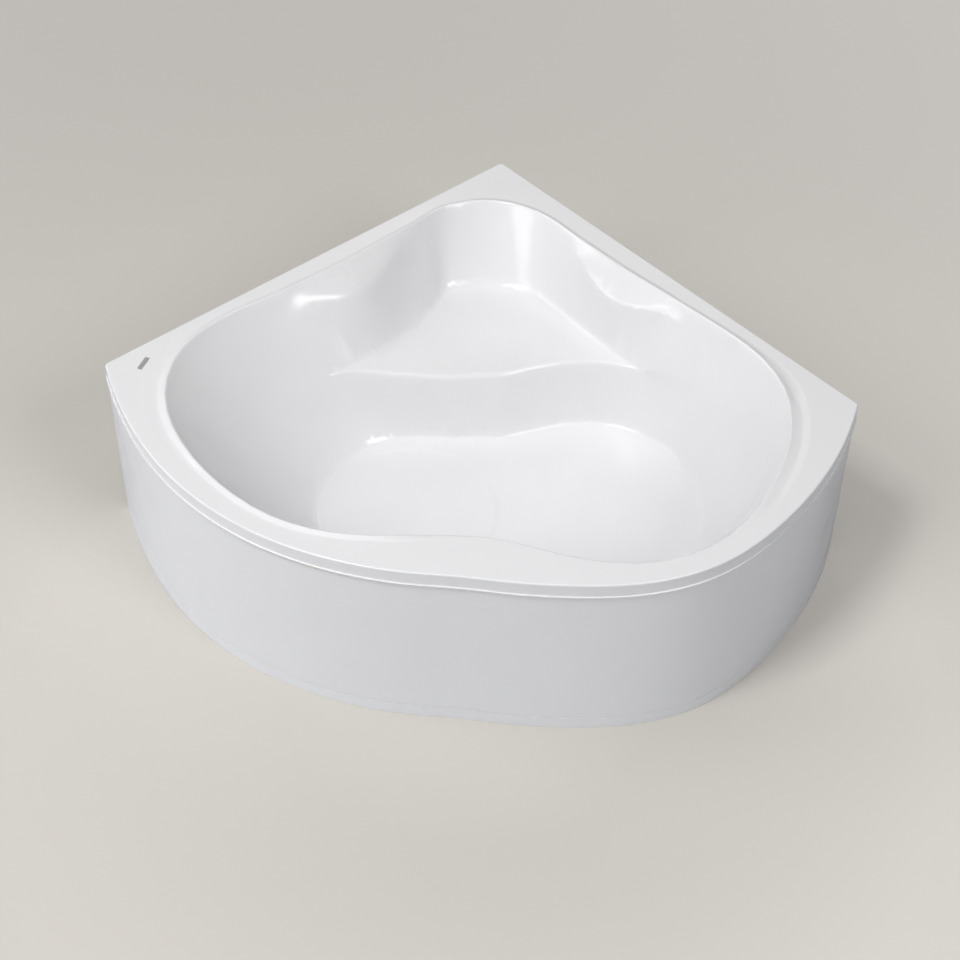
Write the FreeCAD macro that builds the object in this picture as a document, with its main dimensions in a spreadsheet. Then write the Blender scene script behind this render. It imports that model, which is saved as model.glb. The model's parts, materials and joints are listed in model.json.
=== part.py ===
import FreeCAD, Part
import bisect
import math
import os
import Sketcher
from FreeCAD import Placement, Rotation, Vector

# Corner bathtub: an acrylic basin in a square back corner, a curved front skirt, a welded steel
# cradle on levelling feet, wall hooks, and a pop-up waste with an overflow knob.
#
# Frame: millimetres, +Z up, z = 0 on the floor. The walls meet at the back corner, at the largest
# X and Y. The plan centre is half way between the two front corners of the deck, and plan angles
# are counted from +X, anticlockwise: 45 is the back corner, 135 the left corner, -45 the right one.
# The row's origin is under the middle of the bath's box, so every piece is moved by (shift_x, shift_y).

doc = FreeCAD.newDocument("corner_bath")
sheet = doc.addObject("Spreadsheet::Sheet", "dims")

SIZES = {
    # deck and lip
    "wall_leg": 1500.0, "deck_height": 575.0, "lip_height": 45.0, "lip_wall": 6.0,
    "skin": 8.0, "corner_round": 12.0, "edge_round": 4.0,
    # basin
    "floor_level": 130.0, "seat_level": 345.0, "floor_round": 44.0,
    "nose_round": 30.0, "seat_round": 46.0, "seat_spread": 45.0, "rim_round": 12.0,
    "arm_width": 100.0, "arm_drop": 45.0, "arm_round": 16.0, "arm_blend": 70.0,
    "bead_width": 16.0, "bead_height": 5.5, "bead_run": 9.0, "valley_depth": 4.0,
    "valley_foot": 10.0, "valley_run": 24.0,
    "disc_radius": 270.0, "disc_depth": 2.5, "disc_slope": 18.0, "disc_x": -188.0, "disc_y": 88.0,
    "roll_width": 4.0, "roll_height": 4.0,
    # skirt
    "skirt_inset": 5.0, "skirt_wall": 5.0, "skirt_gap": 1.5, "skirt_end_gap": 2.0,
    "groove_level": 41.0, "groove_width": 4.0, "groove_depth": 2.0,
    # cradle
    "board": 16.0, "board_margin": 30.0, "rail_side": 30.0, "rail_wall": 2.0, "post_inset": 62.0,
    "front_post_inset": 56.0, "head_side": 50.0, "head_thick": 3.0, "mid_foot_at": 380.0,
    # levelling feet
    "stud_radius": 6.0, "stud_clear": 0.05, "pad_radius": 24.0, "pad_thick": 12.0, "stud_top_gap": 18.0,
    "nut_across": 19.0, "nut_thick": 9.0, "nut_gap": 0.3, "jam_drop": 26.0,
    # wall hooks
    "hook_width": 60.0, "hook_thick": 3.0, "hook_plate": 55.0, "hook_spread": 400.0,
    "hook_hole": 3.0, "hook_pitch": 30.0, "fit_gap": 0.3,
    # skirt fixings
    "pin_radius": 4.0, "pin_clear": 0.05, "pin_reach": 18.0, "pin_drop": 75.0, "block_side": 30.0,
    "block_deep": 20.0, "tab_deep": 20.0, "tab_height": 40.0, "inner_pins_at": 300.0,
    "outer_pins_at": 780.0,
    # waste
    "drain_x": -205.0, "drain_y": -95.0, "drain_tube": 24.0, "drain_bore": 20.0, "drain_flange": 34.0,
    "flange_thick": 3.0, "tube_drop": 32.0, "gasket_thick": 3.0, "waste_radius": 36.0,
    "waste_wall": 3.0, "waste_depth": 42.0, "spigot_radius": 17.0, "spigot_drop": 30.0,
    "plug_radius": 30.0, "plug_thick": 6.0, "seal_thick": 2.0, "stem_radius": 4.0,
    "stem_length": 52.0, "stem_clear": 0.05, "hub_radius": 8.0, "hub_height": 10.0, "spoke": 4.0,
    "board_hole": 60.0, "slip_nut_radius": 26.0, "slip_nut_height": 10.0,
    "trap_radius": 30.0, "trap_height": 40.0, "trap_level": 14.0, "outlet_radius": 16.0,
    "outlet_length": 330.0, "outlet_step": 0.8, "outlet_grip": 60.0,
    # overflow
    "overflow_angle": -144.6, "overflow_drop": 80.0, "overflow_hole": 26.0, "overflow_sink": 2.0,
    "overflow_wall": 5.0, "rose_radius": 34.0, "rose_bore": 22.0, "rose_thick": 4.0,
    "knob_radius": 29.0, "knob_thick": 15.0, "knob_gap": 6.0, "shaft_radius": 5.0,
    "shaft_clear": 0.05, "body_radius": 33.0, "body_deep": 26.0, "body_wall": 3.0, "boss_radius": 10.0,
    "port_radius": 10.0, "port_length": 24.0, "hose_radius": 13.0, "hose_drop": 240.0,
    "cable_radius": 3.0, "cable_side": 22.0, "cable_gap": 0.1,
}

# Plan radius of the front edge, as a drop from the radius of the two front corners, by angle.
FRONT_DROP = {145: 63, 165: 159, 185: 238, 205: 298, 215: 317, 225: 325, 235: 304, 245: 267, 255: 215,
              270: 141, 285: 101, 305: 39}
# Width of the deck from its outer edge in to the rim, along the same angles.
DECK_WIDTH = {5: 70, 24: 84, 34: 87, 45: 195, 56: 67, 66: 68, 85: 68, 105: 62, 116: 44, 128: 80, 143: 117,
              158: 81, 172: 66, 186: 58, 201: 88, 213: 133, 225: 153, 238: 154, 250: 105, 262: 67,
              276: 63, 294: 95, 315: 179, 330: 50, 342: 58}
# Plan radius of the edge of the flat floor.
FLOOR_RADIUS = {0: 500, 10: 407, 19: 330, 31: 270, 39: 260, 49: 257, 58: 258, 67: 267, 80: 301, 93: 347,
                106: 393, 116: 425, 128: 464, 141: 483, 153: 493, 170: 481, 186: 462, 205: 425, 225: 390,
                242: 425, 255: 520, 270: 612, 285: 658, 303: 662, 317: 652, 334: 630, 345: 588}
# Run of the wall from the back of the seat out to the bead's foot. It changes quickly at the
# crease, where the side of the left armrest begins.
SEAT_BACK_RUN = {-25: 135, -14: 122, -8: 114, -3: 110, 5: 104, 13: 104, 20: 105, 29: 107, 35: 113, 41: 136,
                 50: 150, 55: 139, 58: 131, 60: 150, 64: 165, 70: 180, 80: 184, 93: 186, 104: 188, 120: 190}
# Run of the riser from the edge of the floor out to the seat's nose.
NOSE_RUN = {-30: 60, -15: 46, -8: 42, -3: 41, 8: 57, 16: 69, 24: 66, 36: 51, 45: 41, 52: 38, 65: 37, 76: 40,
            87: 56, 94: 87, 101: 130, 108: 144, 116: 150, 128: 160}
ARMRESTS = ((85.0, 20.5), (7.5, 19.5))       # middle and half width, in degrees
# Spans of plan angles: a form begins at the first, is full between the middle two, ends at the last.
SEAT_SPAN = (-20.0, -5.0, 103.0, 125.0)
BEAD_SPAN = (-86.0, -62.0, 198.0, 222.0)     # the bead runs round the back, and fades at the front
VALLEYS = ((116.0, 128.0, 152.0, 164.0), (284.0, 296.0, 322.0, 334.0))   # dips beside the bead
# Columns of the basin's control net: from each angle on, at this spacing. They are closest at the
# crease between the seat's back and the side of the left armrest.
COLUMN_SPACING = {-15.0: 6.0, 45.0: 5.0, 55.0: 1.75, 62.0: 4.0, 66.0: 5.0, 111.0: 9.0}

TABLES = {"front_drop": FRONT_DROP, "deck_width": DECK_WIDTH, "floor_radius": FLOOR_RADIUS,
          "seat_back_run": SEAT_BACK_RUN, "nose_run": NOSE_RUN}


def alias_of(table, angle):
    return f"{table}_at_{'m' if angle < 0 else 'a'}{abs(angle):03d}"


row = 1


def write_size(name, value):
    """One row of the sheet: the size's name, and its value under that name as alias."""
    global row
    sheet.set(f"A{row}", name.replace("_", " "))
    sheet.set(f"B{row}", str(value))
    sheet.setAlias(f"B{row}", name)
    row += 1


for size_name, size_value in SIZES.items():
    write_size(size_name, size_value)
for table_name, table in TABLES.items():
    for spot_angle, spot_value in table.items():
        write_size(alias_of(table_name, spot_angle), float(spot_value))
doc.recompute()


def size(name):
    return float(sheet.get(name))


def spots(table_name):
    """The angles and values of one table, read back from the sheet."""
    return {angle: size(alias_of(table_name, angle)) for angle in TABLES[table_name]}


# ---------------------------------------------------------------- plan curves

def cubic(chain, angle):
    """The value at an angle on a smooth curve through (angle, value) pairs, with averaged slopes."""
    i = bisect.bisect_right([spot for spot, _ in chain], angle) - 1
    (a0, v0), (a1, v1), (a2, v2), (a3, v3) = chain[i - 1:i + 3]
    span = a2 - a1
    slope1 = (v2 - v0) / (a2 - a0) * span
    slope2 = (v3 - v1) / (a3 - a1) * span
    f = (angle - a1) / span
    return (v1 * (2 * f ** 3 - 3 * f ** 2 + 1) + slope1 * (f ** 3 - 2 * f ** 2 + f)
            + v2 * (3 * f ** 2 - 2 * f ** 3) + slope2 * (f ** 3 - f ** 2))


def round_curve(points, angle):
    """A smooth closed curve through value-by-angle spots."""
    chain = [(spot + turn, points[spot]) for turn in (-360, 0, 360) for spot in sorted(points)]
    return cubic(chain, angle % 360)


def open_curve(points, angle):
    """The same through spots that cover only a part of the turn; held steady past the ends."""
    keys = sorted(points)
    chain = [(keys[0] + gap, points[keys[0]]) for gap in (-360, -180)]
    chain.extend((spot, points[spot]) for spot in keys)
    chain.extend((keys[-1] + gap, points[keys[-1]]) for gap in (180, 360))
    return cubic(chain, (angle + 180) % 360 - 180)


def ramp(value):
    value = min(max(value, 0.0), 1.0)
    return value * value * (3 - 2 * value)


def window(angle, span):
    """0 outside a span of angles, 1 between its middle two, and smooth in between."""
    start, full, last, end = span
    off = (angle - start) % 360
    return min(ramp(off / (full - start)), 1 - ramp((off - (last - start)) / (end - last)))


def column_angles():
    """The plan angles of the net's columns, once round."""
    starts = sorted(COLUMN_SPACING)
    ends = starts[1:] + [starts[0] + 360]
    angles = []
    for start, end in zip(starts, ends):
        count = round((end - start) / COLUMN_SPACING[start])
        angles.extend(start + (end - start) * i / count for i in range(count))
    return angles


half_leg = size("wall_leg") / 2
corner_radius = half_leg * math.sqrt(2)
front_drop = spots("front_drop")
deck_width = spots("deck_width")
floor_radius = spots("floor_radius")
seat_back_run = spots("seat_back_run")
nose_run = spots("nose_run")


def polar(radius, angle, z=0.0):
    return Vector(radius * math.cos(math.radians(angle)), radius * math.sin(math.radians(angle)), z)


LEFT, RIGHT = 135, 315


def front_spots():
    """Spots of the front edge from the left corner round to the right corner."""
    ring = {LEFT: 0.0, RIGHT: 0.0}
    ring.update(front_drop)
    return [polar(corner_radius - ring[a], a) for a in sorted(ring)]


def front_curve(inset=0.0, end_inset=None):
    """The front edge moved in by an inset, as one curve that ends on the inset wall lines."""
    if end_inset is None:
        end_inset = inset
    points = front_spots()
    curve = Part.BSplineCurve()
    curve.interpolate(points)
    if inset == 0:
        return curve
    moved = []
    for point in points:
        along = curve.tangent(curve.parameter(point))[0]
        moved.append(point + Vector(-along.y, along.x, 0) * inset)
    # the ends slide along their own edge line until they meet the wall line's inset
    for end, wall in ((0, Vector(0, 1, 0)), (-1, Vector(1, 0, 0))):
        along = curve.tangent(curve.parameter(points[end]))[0]
        short = half_leg - end_inset - moved[end].dot(wall)
        moved[end] = moved[end] + along * (short / along.dot(wall))
    offset = Part.BSplineCurve()
    offset.interpolate(moved)
    return offset


def band(near, far, end_inset):
    """The strip between two insets of the front edge, as a face at z = 0."""
    outer, inner = front_curve(near, end_inset), front_curve(far, end_inset)
    edges = [outer.toShape(), Part.LineSegment(outer.EndPoint, inner.EndPoint).toShape(),
             inner.toShape(), Part.LineSegment(inner.StartPoint, outer.StartPoint).toShape()]
    return Part.Face(Part.Wire(Part.__sortEdges__(edges)))


edge = front_curve()


def deck_radius(angle):
    """Plan radius of the deck's outer edge at an angle."""
    angle = angle % 360
    if LEFT < angle < RIGHT:
        hit = Part.LineSegment(Vector(0, 0, 0), polar(2 * corner_radius, angle)).intersect(edge)[0]
        return math.hypot(hit.X, hit.Y)
    return half_leg / max(math.cos(math.radians(angle)), math.sin(math.radians(angle)))


def outline(inset, z, wall_inset=None):
    """The deck's outline moved in by an inset: two wall lines and the front curve, as a wire."""
    if wall_inset is None:
        wall_inset = inset
    front = front_curve(inset, wall_inset)
    corner = Vector(half_leg - wall_inset, half_leg - wall_inset, 0)
    wire = Part.Wire([front.toShape(),
                      Part.LineSegment(front.EndPoint, corner).toShape(),
                      Part.LineSegment(corner, front.StartPoint).toShape()])
    wire.translate(Vector(0, 0, z))
    return wire


front_samples = edge.discretize(400)
write_size("shift_x", -(min(p.x for p in front_samples) + half_leg) / 2)
write_size("shift_y", -(min(p.y for p in front_samples) + half_leg) / 2)
doc.recompute()
shift = Vector(size("shift_x"), size("shift_y"), 0)


# ---------------------------------------------------------------- basin

def floor_at(angle):
    return round_curve(floor_radius, angle)


rim_radius = {angle: deck_radius(angle) - width for angle, width in deck_width.items()}


def rim_at(angle):
    return round_curve(rim_radius, angle)


def arm_at(angle):
    """How much of an armrest's full width there is at an angle, 0 to 1."""
    share = 0.0
    for middle, half in ARMRESTS:
        off = abs((angle - middle + 180) % 360 - 180) / half
        if off < 1:
            share = math.cos(math.pi / 2 * off) ** 0.8
    return share


def between(start, end, share):
    return (start[0] + (end[0] - start[0]) * share, start[1] + (end[1] - start[1]) * share)


def at_level(low, high, level):
    """The point at a level on the line between two corners of the section."""
    return between(low, high, (level - low[1]) / (high[1] - low[1]))


def step_from(start, towards, distance):
    """A point at a distance from start, no further than a third of the way to the next corner."""
    gap = math.hypot(towards[0] - start[0], towards[1] - start[1])
    return between(start, towards, min(distance / gap, 0.33))


def section(angle):
    """Control points (radius, height) of the basin's inside, from the floor out to the deck."""
    top_level = size("deck_height")
    floor_edge = (floor_at(angle), size("floor_level"))
    bead = window(angle, BEAD_SPAN)
    foot = rim_at(angle)
    rim = (foot - size("bead_width") * bead, top_level)
    arm = arm_at(angle)
    blend = ramp(arm / 0.35)
    arm_low = (foot - size("arm_width") * arm, top_level - size("arm_drop") * arm)
    wall_top = between(rim, arm_low, blend)
    seat = window(angle, SEAT_SPAN)
    back_run = open_curve(seat_back_run, angle)
    riser = open_curve(nose_run, angle)
    nose = between(at_level(floor_edge, wall_top, size("seat_level") - size("seat_spread")),
                   (floor_edge[0] + riser, size("seat_level")), seat)
    back = between(at_level(floor_edge, wall_top, size("seat_level") + size("seat_spread")),
                   (foot - back_run, size("seat_level")), seat)
    arm_edge = between(at_level(back, wall_top, top_level - size("arm_blend")), arm_low, blend)
    crest = bead * size("bead_height")
    crest_top = (rim[0] + size("bead_width") / 2, top_level + 1.5 * crest)
    valley = max(window(angle, span) for span in VALLEYS)
    dip = top_level - valley * size("valley_depth")
    flat = rim[0] + size("bead_width") + valley * size("valley_foot")
    run = size("bead_run") + valley * size("valley_run")

    points = [(floor_edge[0] - size("floor_round") * k, floor_edge[1]) for k in (1.6, 1.1, 0.6)]
    points.append(floor_edge)
    points.append(step_from(floor_edge, nose, size("floor_round")))
    points.append(between(floor_edge, nose, 0.62))
    points.append(step_from(nose, floor_edge, size("nose_round")))
    points.append(nose)
    points.append(step_from(nose, back, size("nose_round")))
    points.append(between(nose, back, 0.5))
    points.append(step_from(back, nose, size("seat_round")))
    points.append(back)
    points.append(step_from(back, arm_edge, size("seat_round")))
    points.append(between(back, arm_edge, 0.6))
    points.append(step_from(arm_edge, back, size("arm_round")))
    points.append(arm_edge)
    points.append(step_from(arm_edge, rim, size("arm_round")))
    points.append(step_from(rim, arm_edge, size("rim_round")))
    points.append((rim[0], top_level + crest))
    points.append(crest_top)
    points.append((flat, dip))
    points.append((flat + run / 3, between((0, dip), (0, top_level), 0.3)[1]))
    points.extend((flat + run * k, top_level) for k in (2 / 3, 1))
    return points


DECK_ROWS = 6       # the rows of a section from the rim outwards


def under(points):
    """The same section seen from below: moved out by the skin, and flat under the deck."""
    deck = size("deck_height")
    flat = [(radius, deck if i >= len(points) - DECK_ROWS else level)
            for i, (radius, level) in enumerate(points)]
    skin = size("skin")
    moved = []
    for i, (radius, level) in enumerate(flat):
        ahead = flat[min(i + 1, len(flat) - 1)]
        behind = flat[max(i - 1, 0)]
        run, rise = ahead[0] - behind[0], ahead[1] - behind[1]
        length = math.hypot(run, rise)
        moved.append((radius + skin * rise / length, level - skin * run / length))
    return moved


def net_surface(rows_of_columns):
    """A closed cubic surface on a control net: columns go round the plan, rows up the section."""
    poles = [[polar(radius, angle, level) for radius, level in column]
             for angle, column in zip(angles, rows_of_columns)]
    rows = len(poles[0])
    surface = Part.BSplineSurface()
    around = list(range(len(poles) + 1))
    up = list(range(rows - 2))
    surface.buildFromPolesMultsKnots(poles, [1] * len(around), [4] + [1] * (len(up) - 2) + [4],
                                     around, up, True, False, 3, 3)
    return surface


angles = column_angles()
sections = [section(angle) for angle in angles]
inside = net_surface(sections)
outside = net_surface([under(points) for points in sections])


def end_wire(surface, last):
    """The surface's first or last row as a closed wire."""
    knots = surface.getVKnots()
    return Part.Wire(surface.vIso(knots[-1] if last else knots[0]).toShape())


def ring_face(outer, inner):
    return Part.makeFace([outer, inner], "Part::FaceMakerBullseye")


def build_tub():
    """Deck, lip and basin as one skin: planar faces and the two basin surfaces, sewn together."""
    deck = size("deck_height")
    skin = size("skin")
    lip_low = deck - size("lip_height")
    outer, inner = outline(0, 0), outline(size("lip_wall"), 0)

    def at(wire, level):
        copy = wire.copy()
        copy.translate(Vector(0, 0, level))
        return copy

    drop = Vector(0, 0, size("lip_height"))
    faces = [inside.toShape(), outside.toShape(),
             Part.Face(end_wire(inside, False)), Part.Face(end_wire(outside, False)),
             ring_face(at(outer, deck), end_wire(inside, True)),
             ring_face(at(inner, deck - skin), end_wire(outside, True)),
             ring_face(at(outer, lip_low), at(inner, lip_low))]
    faces.extend(at(outer, lip_low).extrude(drop).Faces)
    faces.extend(at(inner, lip_low).extrude(drop - Vector(0, 0, skin)).Faces)
    shell = Part.Compound(faces)
    shell.sewShape()
    solid = Part.Solid(shell.Shells[0] if shell.ShapeType != "Shell" else shell)
    if solid.Volume < 0:
        solid.reverse()
    return solid


# ---------------------------------------------------------------- document helpers

nodes = {}


def node(name, thing):
    """Keep a finished piece under its own name."""
    thing.Label = name
    nodes[name] = thing
    return thing


def bind(thing, **sizes):
    """Tie a thing's properties to expressions on the sheet."""
    for prop, expression in sizes.items():
        thing.setExpression(prop, expression)
    return thing


def put(thing, x="0", y="0", z="0", turn=0.0):
    """Place a thing: x and y count from the plan centre, z from the floor."""
    thing.Placement = Placement(Vector(0, 0, 0), Rotation(Vector(0, 0, 1), turn))
    thing.setExpression("Placement.Base.x", f"dims.shift_x + {x}")
    thing.setExpression("Placement.Base.y", f"dims.shift_y + {y}")
    thing.setExpression("Placement.Base.z", z)
    return thing


# Along the diagonal frame of the cradle: across runs from the left corner to the right one,
# deep runs from the front to the back corner.
def diagonal(across, deep):
    return f"cos(45) * (({across}) + ({deep}))", f"cos(45) * (({deep}) - ({across}))"


ACROSS_TURN = -45.0


def box(name, length, width, height, x="0", y="0", z="0", turn=0.0):
    thing = doc.addObject("Part::Box", name)
    bind(thing, Length=length, Width=width, Height=height)
    return put(thing, x, y, z, turn)


def diagonal_box(name, across, deep, z, spans):
    """A box in the diagonal frame: its low corner, and its spans across, deep and up."""
    x, y = diagonal(across, deep)
    return box(name, *spans, x, y, z, ACROSS_TURN)


def rod(name, radius, height, x="0", y="0", z="0"):
    thing = doc.addObject("Part::Cylinder", name)
    bind(thing, Radius=radius, Height=height)
    return put(thing, x, y, z)


def cut(name, base, tool):
    thing = doc.addObject("Part::Cut", name)
    thing.Base = base
    thing.Tool = tool
    return thing


def fuse(name, *things):
    thing = doc.addObject("Part::MultiFuse", name)
    thing.Shapes = list(things)
    return thing


def group(name, things):
    thing = doc.addObject("Part::Compound", name)
    thing.Links = list(things)
    return thing


def held(name, shape):
    """A feature for a shape made from the basin's own curves, in the plan's coordinates."""
    thing = doc.addObject("Part::Feature", name)
    thing.Shape = shape
    thing.Placement = Placement(shift, Rotation())
    return thing


def revolved(name, corners):
    """A PartDesign body turned about Z from a closed profile of (radius, height) expressions."""
    body = doc.addObject("PartDesign::Body", name)
    sketch = body.newObject("Sketcher::SketchObject", name + "_profile")
    plane = [f for f in body.Origin.OriginFeatures if f.Role == "XZ_Plane"][0]
    sketch.AttachmentSupport = [(plane, "")]
    sketch.MapMode = "FlatFace"
    count = len(corners)
    spread = [Vector(20 + 10 * math.cos(2 * math.pi * i / count),
                     20 + 10 * math.sin(2 * math.pi * i / count), 0) for i in range(count)]
    for i in range(count):
        sketch.addGeometry(Part.LineSegment(spread[i], spread[(i + 1) % count]), False)
    for i in range(count):
        sketch.addConstraint(Sketcher.Constraint("Coincident", i, 2, (i + 1) % count, 1))
    for i, (radius, height) in enumerate(corners):
        for kind, axis, expression in (("DistanceX", -2, radius), ("DistanceY", -1, height)):
            if expression == "0":
                sketch.addConstraint(Sketcher.Constraint("PointOnObject", i, 1, axis))
                continue
            index = sketch.addConstraint(Sketcher.Constraint(kind, -1, 1, i, 1, 10.0))
            sketch.setExpression(f"Constraints[{index}]", expression)
    turned = body.newObject("PartDesign::Revolution", name + "_turned")
    turned.Profile = sketch
    turned.ReferenceAxis = (sketch, ["V_Axis"])
    turned.Angle = 360.0
    body.Tip = turned
    return body


# ---------------------------------------------------------------- tub shell

DRAIN_XY = ("dims.drain_x", "dims.drain_y")
drain_at = Vector(size("drain_x"), size("drain_y"), 0)


def surface_spot(surface, angle, level):
    """The point of a basin surface at a plan angle and level, on its wall, and its normal."""
    ray = Part.LineSegment(Vector(0, 0, level), polar(2 * corner_radius, angle, level))
    point = [Vector(p.X, p.Y, p.Z) for p in surface.intersect(ray)[0]][0]
    normal = surface.normal(*surface.parameter(point))
    if normal.dot(Vector(-point.x, -point.y, 0)) < 0:
        normal = normal * -1
    return point, normal


wall_point, overflow_axis = surface_spot(inside, size("overflow_angle"),
                                         size("deck_height") - size("overflow_drop"))
overflow_seat = wall_point - overflow_axis * size("overflow_sink")


def along_overflow(radius, start, length):
    """A cylinder on the overflow's axis, from a distance into the basin, growing that way."""
    return Part.makeCylinder(radius, length, overflow_seat + overflow_axis * start, overflow_axis)


def above_roll():
    """What comes off the lip's front, so that its lower edge stands out as a slim roll."""
    drop = Vector(0, 0, size("lip_height"))
    kept = Part.Face(outline(size("roll_width"), 0.0, 0.0)).extrude(drop)
    ends = [e for e in kept.Edges if abs(e.tangentAt(e.FirstParameter).z) > 0.99
            and e.CenterOfMass.x * e.CenterOfMass.y < 0]
    strip = band(-size("corner_round"), 2 * size("corner_round"), 0.0).extrude(drop)
    strip = strip.cut(kept.makeFillet(size("corner_round"), ends))
    strip.translate(Vector(0, 0, size("deck_height") - size("lip_height") + size("roll_height")))
    return strip


def finish_tub(solid):
    """Sink the floor's round dish, open the drain and overflow, and round the deck's edges."""
    floor = size("floor_level")
    centre = Vector(size("disc_x"), size("disc_y"), floor)
    slope = Part.makeCone(size("disc_radius") - size("disc_slope"), size("disc_radius"), size("disc_depth"),
                          centre - Vector(0, 0, size("disc_depth")))
    # above the floor the dish is upright, where it meets the foot of the left wall
    dish = slope.fuse(Part.makeCylinder(size("disc_radius"), size("floor_round"), centre))
    solid = solid.cut(dish)
    hole = Part.makeCylinder(size("drain_tube") + size("fit_gap"), 4 * size("skin"),
                             drain_at + Vector(0, 0, floor - 2 * size("skin")))
    reach = 4 * size("skin")
    front = along_overflow(size("rose_radius") + 1, 0, reach)
    back = along_overflow(size("body_radius") + 1, -size("overflow_wall") - reach, reach)
    bore = along_overflow(size("overflow_hole"), -reach, 2 * reach)
    for tool in (hole, front, back, bore):
        solid = solid.cut(tool)
    deck = size("deck_height")
    upright = [e for e in solid.Edges if abs(e.tangentAt(e.FirstParameter).z) > 0.99
               and abs(e.Length - size("lip_height")) < 0.1
               and max(abs(e.CenterOfMass.x), abs(e.CenterOfMass.y)) > half_leg - 0.1]
    solid = solid.makeFillet(size("corner_round"), upright)
    solid = solid.cut(above_roll())
    top = [e for e in solid.Edges if abs(e.BoundBox.ZMin - deck) < 0.01 and abs(e.BoundBox.ZMax - deck) < 0.01
           and e.Length > 5 and not inside_net(e)]
    return solid.makeFillet(size("edge_round"), top).Solids[0]


def inside_net(side):
    """Whether an edge lies within the basin's ring, and not on the deck's outer edge."""
    middle = side.valueAt((side.FirstParameter + side.LastParameter) / 2)
    angle = math.degrees(math.atan2(middle.y, middle.x))
    return math.hypot(middle.x, middle.y) < deck_radius(angle) - size("corner_round")


node("tub_shell", held("tub", finish_tub(build_tub())))

# ---------------------------------------------------------------- base board


def floor_ring(margin):
    """The flat floor's edge moved in by a margin, as a closed wire at z = 0."""
    curve = Part.BSplineCurve()
    curve.interpolate([polar(floor_at(a) - margin, a) for a in range(0, 360, 10)], True)
    return Part.Wire(curve.toShape())


board_ring = held("board_ring", floor_ring(size("board_margin")))
board_blank = doc.addObject("Part::Extrusion", "board_blank")
board_blank.Base = board_ring
board_blank.DirMode = "Custom"
board_blank.Dir = Vector(0, 0, 1)
board_blank.Solid = True
bind(board_blank, LengthFwd="dims.board")
board_blank.setExpression("Placement.Base.z", "dims.floor_level - dims.skin - dims.board")
board_hole = rod("board_hole", "dims.board_hole", "3 * dims.board", *DRAIN_XY,
                 "dims.floor_level - dims.skin - 2 * dims.board")
node("base_board", cut("base_board_cut", board_blank, board_hole))

# ---------------------------------------------------------------- cradle

RAIL_LOW = "(dims.floor_level - dims.skin - dims.board - dims.rail_side)"
CORNER_RADIUS = "(dims.wall_leg * cos(45))"
FRONT_RADIUS = f"({CORNER_RADIUS} - {'dims.' + alias_of('front_drop', 225)})"
SIDE_POST = f"({CORNER_RADIUS} - dims.post_inset)"
FRONT_POST = f"({FRONT_RADIUS} - dims.front_post_inset)"
HALF_RAIL = "dims.rail_side / 2"


def square_tube(name, across, deep, z, spans, along):
    """A square tube in the diagonal frame, open at the ends of its long axis."""
    wall = "dims.rail_wall"
    outer = diagonal_box(name + "_outer", across, deep, z, spans)
    starts = [across, deep, z]
    inner_spans = list(spans)
    for axis in range(3):
        if axis == along:
            starts[axis] = f"({starts[axis]}) - 1"
            inner_spans[axis] = f"({inner_spans[axis]}) + 2"
        else:
            starts[axis] = f"({starts[axis]}) + {wall}"
            inner_spans[axis] = f"({inner_spans[axis]}) - 2 * {wall}"
    inner = diagonal_box(name + "_inner", starts[0], starts[1], starts[2], inner_spans)
    return cut(name + "_tube", outer, inner)


def stud_hole(name, across, deep):
    x, y = diagonal(across, deep)
    return rod(name, "dims.stud_radius + dims.stud_clear", "3 * dims.rail_wall", x, y,
               f"{RAIL_LOW} - dims.rail_wall")


long_tube = square_tube("long_rail", f"-({SIDE_POST} - {HALF_RAIL})", f"-{HALF_RAIL}", RAIL_LOW,
                        [f"2 * ({SIDE_POST} - {HALF_RAIL})", "dims.rail_side", "dims.rail_side"], 0)
mid_holes = fuse("mid_holes", stud_hole("hole_mid_left", "-dims.mid_foot_at", "0"),
                 stud_hole("hole_mid_right", "dims.mid_foot_at", "0"))
node("long_rail", cut("long_rail_drilled", long_tube, mid_holes))
node("back_rail", square_tube("back_rail", f"-{HALF_RAIL}", HALF_RAIL, RAIL_LOW,
                              ["dims.rail_side", f"{SIDE_POST} - dims.rail_side", "dims.rail_side"], 1))
node("front_rail", square_tube("front_rail", f"-{HALF_RAIL}", f"-({FRONT_POST} - {HALF_RAIL})", RAIL_LOW,
                               ["dims.rail_side", f"{FRONT_POST} - dims.rail_side", "dims.rail_side"], 1))

POSTS = {"left": (f"-{SIDE_POST}", "0"), "right": (SIDE_POST, "0"), "back": ("0", SIDE_POST),
         "front": ("0", f"-{FRONT_POST}")}
FEET = dict(POSTS, mid_left=("-dims.mid_foot_at", "0"), mid_right=("dims.mid_foot_at", "0"))
POST_TOP = "(dims.deck_height - dims.skin - dims.head_thick)"


def make_post(place, across, deep):
    """A post from the cradle up to a head plate under the deck, with a drilled foot plate."""
    name = f"post_{place}"
    low = (f"({across}) - {HALF_RAIL}", f"({deep}) - {HALF_RAIL}")
    tube = square_tube(name, *low, RAIL_LOW,
                       ["dims.rail_side", "dims.rail_side", f"{POST_TOP} - {RAIL_LOW}"], 2)
    plate = diagonal_box(name + "_plate", *low, RAIL_LOW,
                         ["dims.rail_side", "dims.rail_side", "dims.rail_wall"])
    drilled = cut(name + "_plate_drilled", plate, stud_hole(name + "_hole", across, deep))
    head = diagonal_box(name + "_head", f"({across}) - dims.head_side / 2", f"({deep}) - dims.head_side / 2",
                        POST_TOP, ["dims.head_side", "dims.head_side", "dims.head_thick"])
    return fuse(name, tube, drilled, head)


for place, (across, deep) in POSTS.items():
    node(f"post_{place}", make_post(place, across, deep))

# ---------------------------------------------------------------- levelling feet

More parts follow.
